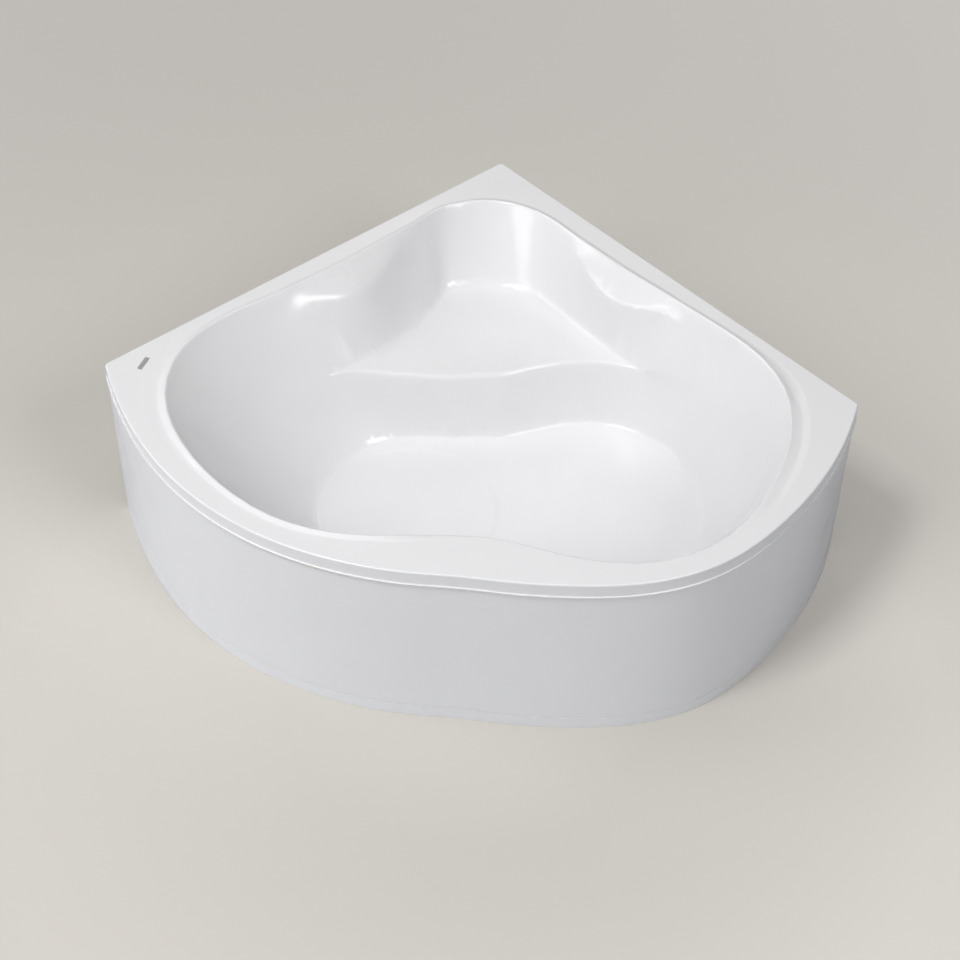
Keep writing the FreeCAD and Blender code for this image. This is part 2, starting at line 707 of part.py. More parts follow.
jam_nuts = []
for place, (across, deep) in FEET.items():
    x, y = diagonal(across, deep)
    stud = rod(f"foot_stud_{place}", "dims.stud_radius",
               f"{RAIL_LOW} + dims.stud_top_gap - dims.pad_thick / 2", x, y, "dims.pad_thick / 2")
    node(f"foot_stud_{place}", stud)
    socket = "dims.stud_radius + dims.stud_clear"
    pad = revolved(f"foot_pad_{place}", [
        ("0", "0"), ("dims.pad_radius", "0"), ("dims.pad_radius", "dims.pad_thick / 3"),
        ("dims.stud_radius * 2", "dims.pad_thick"), (socket, "dims.pad_thick"),
        (socket, "dims.pad_thick / 2"), ("0", "dims.pad_thick / 2")])
    node(f"foot_pad_{place}", put(pad, x, y))
    blank = doc.addObject("Part::Prism", f"jam_blank_{place}")
    blank.Polygon = 6
    bind(blank, Circumradius="dims.nut_across / 2 / cos(30)", Height="dims.nut_thick")
    put(blank, x, y, f"{RAIL_LOW} - dims.nut_thick")
    hole = rod(f"jam_hole_{place}", socket, "dims.nut_thick * 3", x, y, f"{RAIL_LOW} - 2 * dims.nut_thick")
    jam_nuts.append(cut(f"jam_nut_{place}", blank, hole))
node("jam_nuts", group("jam_nuts", jam_nuts))

# ---------------------------------------------------------------- wall hooks


def wall_hook(name, along, on_left_wall):
    """A plate on the wall below the lip, a step in under it, and a finger up inside the lip."""
    lip_low = "(dims.deck_height - dims.lip_height)"
    thick = "dims.hook_thick"
    step = f"dims.lip_wall + dims.fit_gap + {thick}"
    finger_top = "dims.lip_height - dims.skin"
    half_wall = "dims.wall_leg / 2"
    start = f"({along}) - dims.hook_width / 2"
    slabs = [(f"{half_wall} - {thick}", thick, f"{lip_low} - dims.hook_plate", "dims.hook_plate"),
             (f"{half_wall} - ({step})", step, f"{lip_low} - {thick}", thick),
             (f"{half_wall} - ({step})", thick, lip_low, finger_top)]
    solids = []
    for i, (out, deep, low, tall) in enumerate(slabs):
        if on_left_wall:
            solids.append(box(f"{name}_{i}", "dims.hook_width", deep, tall, start, out, low))
        else:
            solids.append(box(f"{name}_{i}", deep, "dims.hook_width", tall, out, start, low))
    holes = []
    for side in ("-", ""):
        spot = f"({along}) + {side}dims.hook_pitch / 2"
        level = f"{lip_low} - dims.hook_plate / 2 - {thick}"
        x, y = (spot, f"{half_wall} + {thick}") if on_left_wall else (f"{half_wall} + {thick}", spot)
        hole = rod(f"{name}_hole{len(holes)}", "dims.hook_hole", f"4 * {thick}", x, y, level)
        turn = Rotation(Vector(1, 0, 0), 90) if on_left_wall else Rotation(Vector(0, 1, 0), -90)
        hole.Placement = Placement(hole.Placement.Base, turn)
        holes.append(hole)
    return cut(name, fuse(name + "_blank", *solids), fuse(name + "_holes", *holes))


for wall in ("left", "right"):
    pair = [wall_hook(f"hook_{wall}_{end}", f"{side}dims.hook_spread", wall == "left")
            for end, side in (("near", "-"), ("far", ""))]
    node(f"wall_hooks_{wall}", group(f"wall_hooks_{wall}", pair))

# ---------------------------------------------------------------- front skirt


skirt_in = size("skirt_inset") + size("skirt_wall")
skirt_face = held("skirt_face", band(size("skirt_inset"), skirt_in, size("skirt_end_gap")))
skirt_blank = doc.addObject("Part::Extrusion", "skirt_blank")
skirt_blank.Base = skirt_face
skirt_blank.DirMode = "Custom"
skirt_blank.Dir = Vector(0, 0, 1)
skirt_blank.Solid = True
bind(skirt_blank, LengthFwd="dims.deck_height - dims.lip_height - dims.skirt_gap")
groove_face = held("groove_face", band(0.0, size("skirt_inset") + size("groove_depth"), 0.0))
groove = doc.addObject("Part::Extrusion", "groove")
groove.Base = groove_face
groove.DirMode = "Custom"
groove.Dir = Vector(0, 0, 1)
groove.Solid = True
bind(groove, LengthFwd="dims.groove_width")
groove.setExpression("Placement.Base.z", "dims.groove_level - dims.groove_width / 2")
node("front_skirt", cut("front_skirt", skirt_blank, groove))

# Four push-on fixings hold the skirt: a tab and pin bonded behind it, and a socket block that
# hangs under the deck. All pins point straight back along the diagonal, so the skirt pulls off.
skirt_inner = front_curve(skirt_in, 0.0)
behind = Vector(math.cos(math.radians(45)), math.cos(math.radians(45)), 0)
sideways = Vector(behind.x, -behind.y, 0)


def skirt_reach(across):
    """How far in front of the plan centre the skirt's inner face lies, at a place across."""
    start = sideways * across
    ray = Part.LineSegment(start - behind * (2 * corner_radius), start)
    return max(-Vector(p.X, p.Y, 0).dot(behind) for p in skirt_inner.toShape().Curve.intersect(ray))


def block_in_plan(across, deep, wide, long, low, tall):
    """A box in the diagonal frame, from numbers, in plan coordinates."""
    block = Part.makeBox(wide, long, tall, Vector(across - wide / 2, deep, low))
    block.rotate(Vector(0, 0, 0), Vector(0, 0, 1), ACROSS_TURN)
    return block


def bar_in_plan(radius, length, across, deep, level):
    bar = Part.makeCylinder(radius, length, Vector(across, deep, level), Vector(0, 1, 0))
    bar.rotate(Vector(0, 0, 0), Vector(0, 0, 1), ACROSS_TURN)
    return bar


room = Part.Face(outline(skirt_in, 0)).extrude(Vector(0, 0, size("deck_height")))
pins, sockets = [], []
for across in (-size("outer_pins_at"), -size("inner_pins_at"), size("inner_pins_at"), size("outer_pins_at")):
    face_at = -skirt_reach(across)
    side = size("block_side")
    level = size("deck_height") - size("pin_drop")
    tall = size("tab_height")
    tab = block_in_plan(across, face_at - 2 * side, side, 2 * side + size("tab_deep"), level - tall / 2, tall)
    tab = tab.common(room)
    seat = face_at + size("tab_deep")
    pin = bar_in_plan(size("pin_radius"), size("pin_reach") + 1, across, seat - 1, level)
    pins.append(tab.fuse(pin))
    deck_low = size("deck_height") - size("skin")
    block = block_in_plan(across, seat + size("fit_gap"), side, size("block_deep"), level - tall / 2,
                          deck_low - level + tall / 2)
    bore = bar_in_plan(size("pin_radius") + size("pin_clear"), 3 * size("block_deep"), across,
                       seat - size("block_deep"), level)
    sockets.append(block.cut(bore))
node("skirt_pins", held("skirt_pins", Part.Compound(pins)))
node("skirt_sockets", held("skirt_sockets", Part.Compound(sockets)))

# ---------------------------------------------------------------- waste

DRAIN_FLOOR = "(dims.floor_level - dims.disc_depth)"
TUBE_LOW = f"({DRAIN_FLOOR} - dims.tube_drop)"
UNDER = "(dims.floor_level - dims.skin)"

flange = revolved("drain_tube", [
    ("dims.drain_bore", "0"), ("dims.drain_tube", "0"), ("dims.drain_tube", "dims.tube_drop"),
    ("dims.drain_flange", "dims.tube_drop"), ("dims.drain_flange - 1", "dims.tube_drop + dims.flange_thick"),
    ("dims.drain_bore + 5", "dims.tube_drop + dims.flange_thick"), ("dims.drain_bore", "dims.tube_drop - 4")])
put(flange, *DRAIN_XY, TUBE_LOW)
hub_blank = rod("hub_blank", "dims.hub_radius", "dims.hub_height", *DRAIN_XY, TUBE_LOW)
spokes = []
for turn in (0, 120, 240):
    spoke = box(f"spoke_{turn}", "dims.drain_bore + 1", "dims.spoke", "dims.spoke")
    x = f"dims.drain_x + sin({turn}) * dims.spoke / 2"
    y = f"dims.drain_y - cos({turn}) * dims.spoke / 2"
    spokes.append(put(spoke, x, y, TUBE_LOW, turn))
hub_hole = rod("hub_hole", "dims.stem_radius + dims.stem_clear", "3 * dims.hub_height", *DRAIN_XY,
               f"{TUBE_LOW} - dims.hub_height")
flange_blank = fuse("drain_flange_blank", flange, hub_blank, *spokes)
node("drain_flange", cut("drain_flange_open", flange_blank, hub_hole))


def washer(name, inner, outer, height, z):
    blank = rod(name + "_blank", outer, height, *DRAIN_XY, z)
    hole = rod(name + "_hole", inner, f"3 * ({height})", *DRAIN_XY, f"{z} - {height}")
    return cut(name, blank, hole)


node("drain_gasket", washer("drain_gasket", "dims.drain_tube + dims.fit_gap", "dims.drain_flange",
                            "dims.gasket_thick", f"{UNDER} - dims.gasket_thick"))

WASTE_LOW = f"({UNDER} - dims.gasket_thick - dims.waste_depth - dims.spigot_drop)"
waste = revolved("waste_cup", [
    ("dims.spigot_radius - dims.waste_wall", "0"), ("dims.spigot_radius", "0"),
    ("dims.spigot_radius", "dims.spigot_drop"), ("dims.waste_radius", "dims.spigot_drop"),
    ("dims.waste_radius", "dims.spigot_drop + dims.waste_depth"),
    ("dims.drain_tube + dims.fit_gap", "dims.spigot_drop + dims.waste_depth"),
    ("dims.drain_tube + dims.fit_gap", "dims.spigot_drop + dims.waste_depth - dims.waste_wall"),
    ("dims.waste_radius - dims.waste_wall", "dims.spigot_drop + dims.waste_depth - dims.waste_wall"),
    ("dims.waste_radius - dims.waste_wall", "dims.spigot_drop + dims.waste_wall"),
    ("dims.spigot_radius - dims.waste_wall", "dims.spigot_drop + dims.waste_wall")])
put(waste, *DRAIN_XY, WASTE_LOW)

# The overflow's hose runs down behind the wall and into the side of the waste, level.
overflow_plan = Vector(overflow_seat.x, overflow_seat.y, 0)
hose_way = (drain_at - overflow_plan).normalize()
port_level = (size("floor_level") - size("skin") - size("board") - size("hose_radius") - 4)
body_back = -(size("overflow_wall") + size("gasket_thick"))
body_end = body_back - size("body_deep")
down = Vector(0, 0, -1) - overflow_axis * (-overflow_axis.z)
down.normalize()
port_at = overflow_seat + overflow_axis * (body_back - size("body_deep") / 2)


def pipe_end(radius, length, start, way):
    return Part.makeCylinder(radius, length, start, way)


def rounded_path(points):
    """Straight runs joined by tangent arcs, each as large as its two runs allow."""
    edges = []
    last = points[0]
    for i in range(1, len(points) - 1):
        before, corner, after = points[i - 1], points[i], points[i + 1]
        way_in, way_out = (corner - before), (after - corner)
        short = min(way_in.Length, way_out.Length)
        way_in.normalize()
        way_out.normalize()
        half_turn = way_in.getAngle(way_out) / 2
        trim = 0.45 * short
        radius = trim / math.tan(half_turn)
        start, end = corner - way_in * trim, corner + way_out * trim
        toward = (way_out - way_in).normalize()
        middle = corner + toward * (radius / math.cos(half_turn) - radius)
        edges.append(Part.LineSegment(last, start).toShape())
        edges.append(Part.Arc(start, middle, end).toShape())
        last = end
    edges.append(Part.LineSegment(last, points[-1]).toShape())
    return Part.Wire(edges)


def tube_along(wire, radius):
    """A solid round bar along a path of runs and arcs."""
    first = wire.Edges[0]
    way = first.tangentAt(first.FirstParameter)
    circle = Part.Wire(Part.makeCircle(radius, wire.OrderedVertexes[0].Point, way))
    return wire.makePipeShell([circle], True, False)


port_start = drain_at + hose_way * -(size("waste_radius") - 1) + Vector(0, 0, port_level)
port_end = port_start - hose_way * (size("port_length") + 1)
hose_start = port_at + down * (size("body_radius") + size("port_length"))
fall = size("hose_drop")
foot = Vector(hose_start.x, hose_start.y, 0)
hose_points = [hose_start, hose_start + down * 50,
               hose_start + down * 50 + Vector(0, 0, -0.5 * fall) - hose_way * 4,
               Vector(0, 0, port_level + 70) + foot + hose_way * 20,
               Vector(0, 0, port_level + 10) + foot + hose_way * 75,
               port_end - hose_way * 60, port_end]
hose_path = rounded_path(hose_points)
hose_bar = tube_along(hose_path, size("hose_radius"))
print("hose length", round(hose_path.Length), "volume share",
      round(hose_bar.Volume / (hose_path.Length * math.pi * size("hose_radius") ** 2), 4))
node("overflow_hose", held("overflow_hose", hose_bar))

port = pipe_end(size("port_radius"), size("port_length") + 1, port_start, hose_way * -1)
port_feature = held("waste_port", port)
node("waste_body", fuse("waste_body", waste, port_feature))

CAP_LOW = f"({DRAIN_FLOOR} + dims.flange_thick + dims.seal_thick)"
plug = revolved("plug", [
    ("0", "0"), ("dims.stem_radius", "0"), ("dims.stem_radius", "dims.stem_length"),
    ("dims.plug_radius - 1", "dims.stem_length"), ("dims.plug_radius", "dims.stem_length + 1"),
    ("dims.plug_radius - 2", "dims.stem_length + dims.plug_thick * 0.6"),
    ("dims.plug_radius * 0.6", "dims.stem_length + dims.plug_thick * 0.9"),
    ("0", "dims.stem_length + dims.plug_thick")])
node("popup_plug", put(plug, *DRAIN_XY, f"{CAP_LOW} - dims.stem_length"))
node("plug_seal", washer("plug_seal", "dims.drain_bore + 3", "dims.plug_radius - 2",
                         "dims.seal_thick - dims.fit_gap", f"{CAP_LOW} - dims.seal_thick + dims.fit_gap"))

SPIGOT_HOLE = "dims.spigot_radius + dims.fit_gap"
trap_cup = revolved("trap_cup", [
    ("0", "0"), ("dims.trap_radius", "0"), ("dims.trap_radius", "dims.trap_height"),
    (SPIGOT_HOLE, "dims.trap_height"), (SPIGOT_HOLE, "dims.trap_height - dims.waste_wall"),
    ("dims.trap_radius - dims.waste_wall", "dims.trap_height - dims.waste_wall"),
    ("dims.trap_radius - dims.waste_wall", "dims.waste_wall"), ("0", "dims.waste_wall")])
put(trap_cup, *DRAIN_XY, "dims.trap_level")
OUTLET_MID = "(dims.trap_level + dims.trap_height / 2)"
outlet = rod("outlet", "dims.outlet_radius", "dims.outlet_length", *DRAIN_XY, OUTLET_MID)
outlet_body = rod("outlet_body", "dims.outlet_radius + dims.outlet_step",
                  "dims.outlet_length - dims.outlet_grip", *DRAIN_XY, OUTLET_MID)
outlet_bore = rod("outlet_bore", "dims.outlet_radius - dims.waste_wall", "dims.outlet_length + 1",
                  *DRAIN_XY, OUTLET_MID)
to_left_wall = Rotation(Vector(0, 0, 1), Vector(0, 1, 0))
for pipe in (outlet, outlet_body, outlet_bore):
    pipe.Placement = Placement(pipe.Placement.Base, to_left_wall)
core = rod("trap_core", "dims.trap_radius - dims.waste_wall", "dims.trap_height - 2 * dims.waste_wall",
           *DRAIN_XY, "dims.trap_level + dims.waste_wall")
stub = cut("outlet_stub", fuse("outlet_pipe", outlet, outlet_body), core)
node("trap", cut("trap_open", fuse("trap_blank", trap_cup, stub), outlet_bore))
node("slip_nut", washer("slip_nut", SPIGOT_HOLE, "dims.slip_nut_radius", "dims.slip_nut_height",
                        "(dims.trap_level + dims.trap_height)"))

# ---------------------------------------------------------------- overflow

overflow_frame = Placement(shift + overflow_seat, Rotation(Vector(0, 0, 1), overflow_axis))


def on_overflow(thing, start=0.0):
    """Place a piece on the overflow's axis, at a distance into the basin from the seat."""
    thing.Placement = Placement(shift + overflow_seat + overflow_axis * start, overflow_frame.Rotation)
    return thing


node("overflow_rose", on_overflow(revolved("overflow_rose", [
    ("dims.rose_bore", "0"), ("dims.rose_radius", "0"), ("dims.rose_radius", "dims.rose_thick / 2"),
    ("dims.rose_radius - 3", "dims.rose_thick"), ("dims.rose_bore", "dims.rose_thick")])))
node("overflow_gasket", on_overflow(revolved("overflow_gasket", [
    ("dims.overflow_hole", "0"), ("dims.body_radius", "0"), ("dims.body_radius", "dims.gasket_thick"),
    ("dims.overflow_hole", "dims.gasket_thick")]), body_back))
cup_wall = "dims.body_wall"
body_cup = on_overflow(revolved("overflow_cup", [
    ("dims.shaft_radius + dims.shaft_clear", "0"), ("dims.body_radius", "0"),
    ("dims.body_radius", "dims.body_deep"), (f"dims.body_radius - {cup_wall}", "dims.body_deep"),
    (f"dims.body_radius - {cup_wall}", cup_wall),
    ("dims.boss_radius", cup_wall), ("dims.boss_radius", "dims.body_deep - 4"),
    ("dims.shaft_radius + dims.shaft_clear", "dims.body_deep - 4")]), body_end)
body_port = held("overflow_port", pipe_end(size("port_radius"), size("port_length") + 1,
                                           port_at + down * (size("body_radius") - 1), down))
node("overflow_body", fuse("overflow_body", body_cup, body_port))

KNOB_BACK = "(dims.overflow_wall + dims.gasket_thick + dims.body_deep)"
KNOB_LOW = f"({KNOB_BACK} + dims.rose_thick + dims.knob_gap)"
knob_turned = revolved("knob_turned", [
    ("0", "0"), ("dims.shaft_radius", "0"), ("dims.shaft_radius", KNOB_LOW),
    ("dims.knob_radius - 2", KNOB_LOW), ("dims.knob_radius", f"{KNOB_LOW} + 2"),
    ("dims.knob_radius", f"{KNOB_LOW} + dims.knob_thick * 0.7"),
    ("dims.knob_radius * 0.8", f"{KNOB_LOW} + dims.knob_thick"), ("0", f"{KNOB_LOW} + dims.knob_thick")])
on_overflow(knob_turned, body_end)
node("overflow_knob", knob_turned)

# The control cable runs beside the hose, from the overflow's body to the waste's body. Each end
# stops where its inner edge meets the round body.


def cable_stop(radius):
    return math.sqrt(radius ** 2 - (size("cable_side") - size("cable_radius")) ** 2) + size("cable_gap")


across_hose = hose_way.cross(Vector(0, 0, 1)).normalize() * size("cable_side")
across_body = down.cross(overflow_axis).normalize() * size("cable_side")
if across_body.dot(across_hose) < 0:
    across_body = -across_body
cable_points = [p + across_hose for p in hose_points]
cable_points[0] = port_at + down * cable_stop(size("body_radius")) + across_body
cable_points[1] = hose_points[1] + across_body
cable_points[-1] = (drain_at + Vector(0, 0, port_level) + across_hose
                    - hose_way * cable_stop(size("waste_radius")))
cable_path = rounded_path(cable_points)
cable = tube_along(cable_path, size("cable_radius"))
print("cable length", round(cable_path.Length))
node("control_cable", held("control_cable", cable))

# ---------------------------------------------------------------- check and write

doc.recompute()
failed = [o.Label for o in doc.Objects if {"Invalid", "Error"} & set(o.State)]
for name, thing in nodes.items():
    if thing.Shape.isNull() or not thing.Shape.isValid():
        failed.append(name)
if failed:
    raise RuntimeError("failed: " + ", ".join(failed))
os.makedirs("parts", exist_ok=True)
for name, thing in nodes.items():
    thing.Shape.exportStep(f"parts/{name}.step")
whole = FreeCAD.BoundBox()
for thing in nodes.values():
    whole.add(thing.Shape.BoundBox)
print(len(nodes), "pieces", whole)
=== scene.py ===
# %% [markdown]
# # A corner bathtub in white acrylic
#
# The bath arrives here as finished solids: the shell, its skirt, the steel cradle, the feet and the
# waste. This notebook gives each of them the finish of the real material, adds the pieces that are
# finer than a solid is worth, such as screw threads and the ribs of the hose, and sets the light and
# the camera of a plain product picture.

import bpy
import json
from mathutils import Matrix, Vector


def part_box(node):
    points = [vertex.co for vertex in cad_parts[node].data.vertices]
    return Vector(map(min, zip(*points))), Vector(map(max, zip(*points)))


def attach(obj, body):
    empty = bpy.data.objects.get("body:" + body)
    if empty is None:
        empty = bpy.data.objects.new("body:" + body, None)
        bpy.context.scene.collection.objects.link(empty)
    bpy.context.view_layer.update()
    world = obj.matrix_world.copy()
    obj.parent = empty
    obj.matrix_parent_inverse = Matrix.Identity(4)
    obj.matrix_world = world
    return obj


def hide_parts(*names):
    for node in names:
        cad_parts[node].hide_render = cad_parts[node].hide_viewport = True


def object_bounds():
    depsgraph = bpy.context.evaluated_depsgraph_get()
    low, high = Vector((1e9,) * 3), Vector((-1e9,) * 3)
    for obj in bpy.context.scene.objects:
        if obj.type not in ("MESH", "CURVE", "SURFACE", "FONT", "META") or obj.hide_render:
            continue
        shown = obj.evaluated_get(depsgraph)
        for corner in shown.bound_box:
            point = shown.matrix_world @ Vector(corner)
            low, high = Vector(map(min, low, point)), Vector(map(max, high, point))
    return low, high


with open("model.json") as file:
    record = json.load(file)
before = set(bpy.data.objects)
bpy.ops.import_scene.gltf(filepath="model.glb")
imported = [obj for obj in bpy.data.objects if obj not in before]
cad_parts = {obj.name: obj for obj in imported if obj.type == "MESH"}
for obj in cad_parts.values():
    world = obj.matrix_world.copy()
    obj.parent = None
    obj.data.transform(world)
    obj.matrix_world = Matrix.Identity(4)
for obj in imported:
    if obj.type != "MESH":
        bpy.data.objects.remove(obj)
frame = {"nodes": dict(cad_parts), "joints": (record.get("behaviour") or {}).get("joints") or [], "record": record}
cad_box = [list(corner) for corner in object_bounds()]

import json
import math

import bmesh
import bpy
from mathutils import Matrix, Vector

nodes = frame["nodes"]
print(len(nodes), "solids, box", [round(b - a, 3) for a, b in zip(*cad_box)])

# %% [markdown]
# ## The camera
#
# The camera comes first, because every later choice is judged through it. It stands in front of the
# bath, a little to the right of its diagonal, looks down at about 45 degrees, and has a lens of about
# 74 mm. Both walls lie towards larger X and Y, so the bath is seen along its diagonal, and the
# camera's place is given along that diagonal and across it, from the back corner. A camera looks
# along its own -Z, so its turn is built from three directions: to the right, up and backwards.

# %% Camera
BACK_CORNER = Vector((cad_box[1][0], cad_box[1][1], 0.0))
ACROSS = Vector((1, -1, 0)).normalized()
DEEP = Vector((1, 1, 0)).normalized()
CAMERA_ACROSS = 0.2408
CAMERA_BACK = 5.1686
CAMERA_HEIGHT = 4.2581
YAW = math.radians(-3.244)
PITCH = math.radians(44.609)
ROLL = math.radians(0.888)
LENS_MM = 73.91
SENSOR_MM = 36.0

level = ACROSS * math.sin(YAW) + DEEP * math.cos(YAW)
forward = level * math.cos(PITCH) - Vector((0, 0, math.sin(PITCH)))
right = ACROSS * math.cos(YAW) - DEEP * math.sin(YAW)
up = right.cross(forward)
rolled_right = right * math.cos(ROLL) + up * math.sin(ROLL)
rolled_up = up * math.cos(ROLL) - right * math.sin(ROLL)

camera_data = bpy.data.cameras.new("studio_camera")
camera_data.lens = LENS_MM
camera_data.sensor_width = SENSOR_MM
camera = bpy.data.objects.new("studio_camera", camera_data)
bpy.context.scene.collection.objects.link(camera)
turn = Matrix((rolled_right, rolled_up, -forward)).transposed().to_4x4()
place = BACK_CORNER + ACROSS * CAMERA_ACROSS - DEEP * CAMERA_BACK + Vector((0, 0, CAMERA_HEIGHT))
camera.matrix_world = Matrix.Translation(place) @ turn
bpy.context.scene.camera = camera
print("camera at", [round(v, 3) for v in place])

# %% [markdown]
# ## Three helpers for materials
#
# Colours are written as sRGB hex, as a paint chart gives them, and one function turns them to the
# linear values that shaders work with. One function adds a node with its settings, values and
# links, whatever its kind. The last one starts a finish from a Principled shader. A value that is
# the same all over the surface goes straight on the shader's own socket.

# %% Colour and node helpers
MM = 0.001


def linear(hex_colour):
    """sRGB hex, such as F2F2F0, to the linear colour that shaders take."""
    values = [int(hex_colour[i:i + 2], 16) / 255 for i in (0, 2, 4)]
    return tuple(v / 12.92 if v <= 0.04045 else ((v + 0.055) / 1.055) ** 2.4 for v in values) + (1.0,)


def add(tree, kind, settings=None, values=None, links=None):
    """Add a node. Settings are its properties, and values and links go to sockets by name or number."""
    made = tree.nodes.new(kind)
    for name, value in (settings or {}).items():
        setattr(made, name, value)
    for socket, value in (values or {}).items():
        made.inputs[socket].default_value = value
    for socket, source in (links or {}).items():
        tree.links.new(source, made.inputs[socket])
    return made


def new_finish(name, colour, roughness, **sockets):
    """A material with its shader and the Object coordinates that its patterns are laid out on."""
    made = bpy.data.materials.new(name)
    made.use_nodes = True
    tree = made.node_tree
    shader = tree.nodes["Principled BSDF"]
    shader.inputs["Base Color"].default_value = linear(colour)
    shader.inputs["Roughness"].default_value = roughness
    for socket, value in sockets.items():
        shader.inputs[socket].default_value = value
    coordinates = add(tree, "ShaderNodeTexCoord").outputs["Object"]
    return made, tree, shader, coordinates


print("hex 808080 is", round(linear("808080")[0], 3), "in linear light")

# %% [markdown]
# ## The laminate on the back of the acrylic
#
# The shell and the skirt are acrylic sheets, and behind each lies another material, which makes it
# stiff: glass fibre and resin, rolled on by hand, dull and the colour of cream. A Voronoi pattern's
# distance to its edges draws strands of glass 5 mm apart, and the bump of it is enough, because the
# strands lie under the resin.

# %% Laminate
STRAND = 5 * MM
STRAND_HEIGHT = 0.4 * MM


def laminate(tree, coordinates, cloud):
    """The shader of the back, its cream clouded by the given noise."""
    strands = add(tree, "ShaderNodeTexVoronoi", {"feature": "DISTANCE_TO_EDGE"}, {"Scale": 1 / STRAND},
                  {"Vector": coordinates})
    relief = add(tree, "ShaderNodeBump", values={"Distance": STRAND_HEIGHT},
                 links={"Height": strands.outputs["Distance"]})
    resin = add(tree, "ShaderNodeMix", {"data_type": "RGBA"}, {6: linear("E6E0CE"), 7: linear("D5CCB4")},
                {0: cloud})
    back = add(tree, "ShaderNodeBsdfPrincipled", values={"Roughness": 0.55, "IOR": 1.55},
               links={"Base Color": resin.outputs[2], "Normal": relief.outputs["Normal"]})
    return back.outputs["BSDF"]


print("strands of glass", round(STRAND / MM), "mm apart")

# %% [markdown]
# ## Which side of the sheet is this?
#
# Face and back belong to one solid, so the material has to know which side it is on. The face's
# normals point up, and where they are level, as on the lip and the skirt, they point away from the
# middle of the bath. The back's point down or inwards. So the normal is compared with a direction
# that is mostly up and a little outwards, by one dot product, and the two shaders change places
# where it changes its sign.

# %% Face or back
MIDDLE_PULL = 0.05      # how much a horizontal distance from the middle counts, against the upright
CHANGE_OVER = 0.01      # the dot product over which one side turns to the other


def on_the_face(tree, coordinates):
    """A socket that is 1 on the face of the sheet and 0 on its back."""
    outward = add(tree, "ShaderNodeVectorMath", {"operation": "MULTIPLY_ADD"},
                  {1: (MIDDLE_PULL, MIDDLE_PULL, 0.0), 2: (0.0, 0.0, 1.0)}, {0: coordinates})
    normal = add(tree, "ShaderNodeNewGeometry").outputs["Normal"]
    facing = add(tree, "ShaderNodeVectorMath", {"operation": "DOT_PRODUCT"},
                 links={0: normal, 1: outward.outputs["Vector"]})
    is_face = add(tree, "ShaderNodeMapRange", values={"From Min": -CHANGE_OVER, "From Max": CHANGE_OVER},
                  links={"Value": facing.outputs["Value"]})
    return is_face.outputs["Result"]


print("sides change over", 2 * CHANGE_OVER, "of the dot product")

# %% [markdown]
# ## Thermoformed acrylic
#
# The shell is a cast acrylic sheet, heated and sucked over a mould, so its face is glossy and its
# white comes from the sheet itself. Three faint things keep it from looking like a computer's
# white: slow waves where the sheet cooled unevenly, a gloss that changes a little with how far the
# sheet was stretched, and two whites that lie close together. The waves are 70 mm long and a tenth
# of a millimetre high on the shell, a little larger on the skirt, and show only where a reflection
# runs over them. The stretching changes over 160 mm.

# %% Acrylic
STRETCH_SPOT = 160 * MM
NOISE_LOW, NOISE_HIGH = 0.3, 0.7        # most of a noise's values lie between these


def acrylic_finish(name, whites, gloss, wave, wave_height):
    """Acrylic with two whites and a lowest and highest roughness, and its laminated back."""
    made, tree, face, coordinates = new_finish(name, whites[0], gloss[0], IOR=1.49)
    waves = add(tree, "ShaderNodeTexNoise", values={"Scale": 1 / wave, "Detail": 1.0},
                links={"Vector": coordinates})
    bump = add(tree, "ShaderNodeBump", values={"Distance": wave_height},
               links={"Height": waves.outputs["Fac"]})
    stretch = add(tree, "ShaderNodeTexNoise", values={"Scale": 1 / STRETCH_SPOT, "Detail": 2.0},
                  links={"Vector": coordinates})
    shine = add(tree, "ShaderNodeMapRange",
                values={"From Min": NOISE_LOW, "From Max": NOISE_HIGH, "To Min": gloss[0],
                        "To Max": gloss[1]}, links={"Value": stretch.outputs["Fac"]})
    white = add(tree, "ShaderNodeMix", {"data_type": "RGBA"}, {6: linear(whites[0]), 7: linear(whites[1])},
                {0: stretch.outputs["Fac"]})
    tree.links.new(white.outputs[2], face.inputs["Base Color"])
    tree.links.new(shine.outputs["Result"], face.inputs["Roughness"])
    tree.links.new(bump.outputs["Normal"], face.inputs["Normal"])
    sides = add(tree, "ShaderNodeMixShader", links={
        0: on_the_face(tree, coordinates), 1: laminate(tree, coordinates, waves.outputs["Fac"]),
        2: face.outputs["BSDF"]})
    tree.links.new(sides.outputs["Shader"], tree.nodes["Material Output"].inputs["Surface"])
    return made


WHITES = ("E8E8EA", "E4E4E6")
thermoformed_acrylic = acrylic_finish("thermoformed_acrylic", WHITES, (0.15, 0.22), 70 * MM, 0.10 * MM)
formed_skirt_sheet = acrylic_finish("formed_acrylic_sheet", WHITES, (0.17, 0.25), 90 * MM, 0.15 * MM)
print("acrylic finishes:", thermoformed_acrylic.name, formed_skirt_sheet.name)

# %% [markdown]
# ## Particle board
#
# The board under the floor is pressed wood chips. A Voronoi pattern gives cells the size of a chip,
# each with its own random grey, and a colour ramp turns that grey to three wood colours. The chips
# lie flat in the board, so the pattern is squeezed to a third of its height.

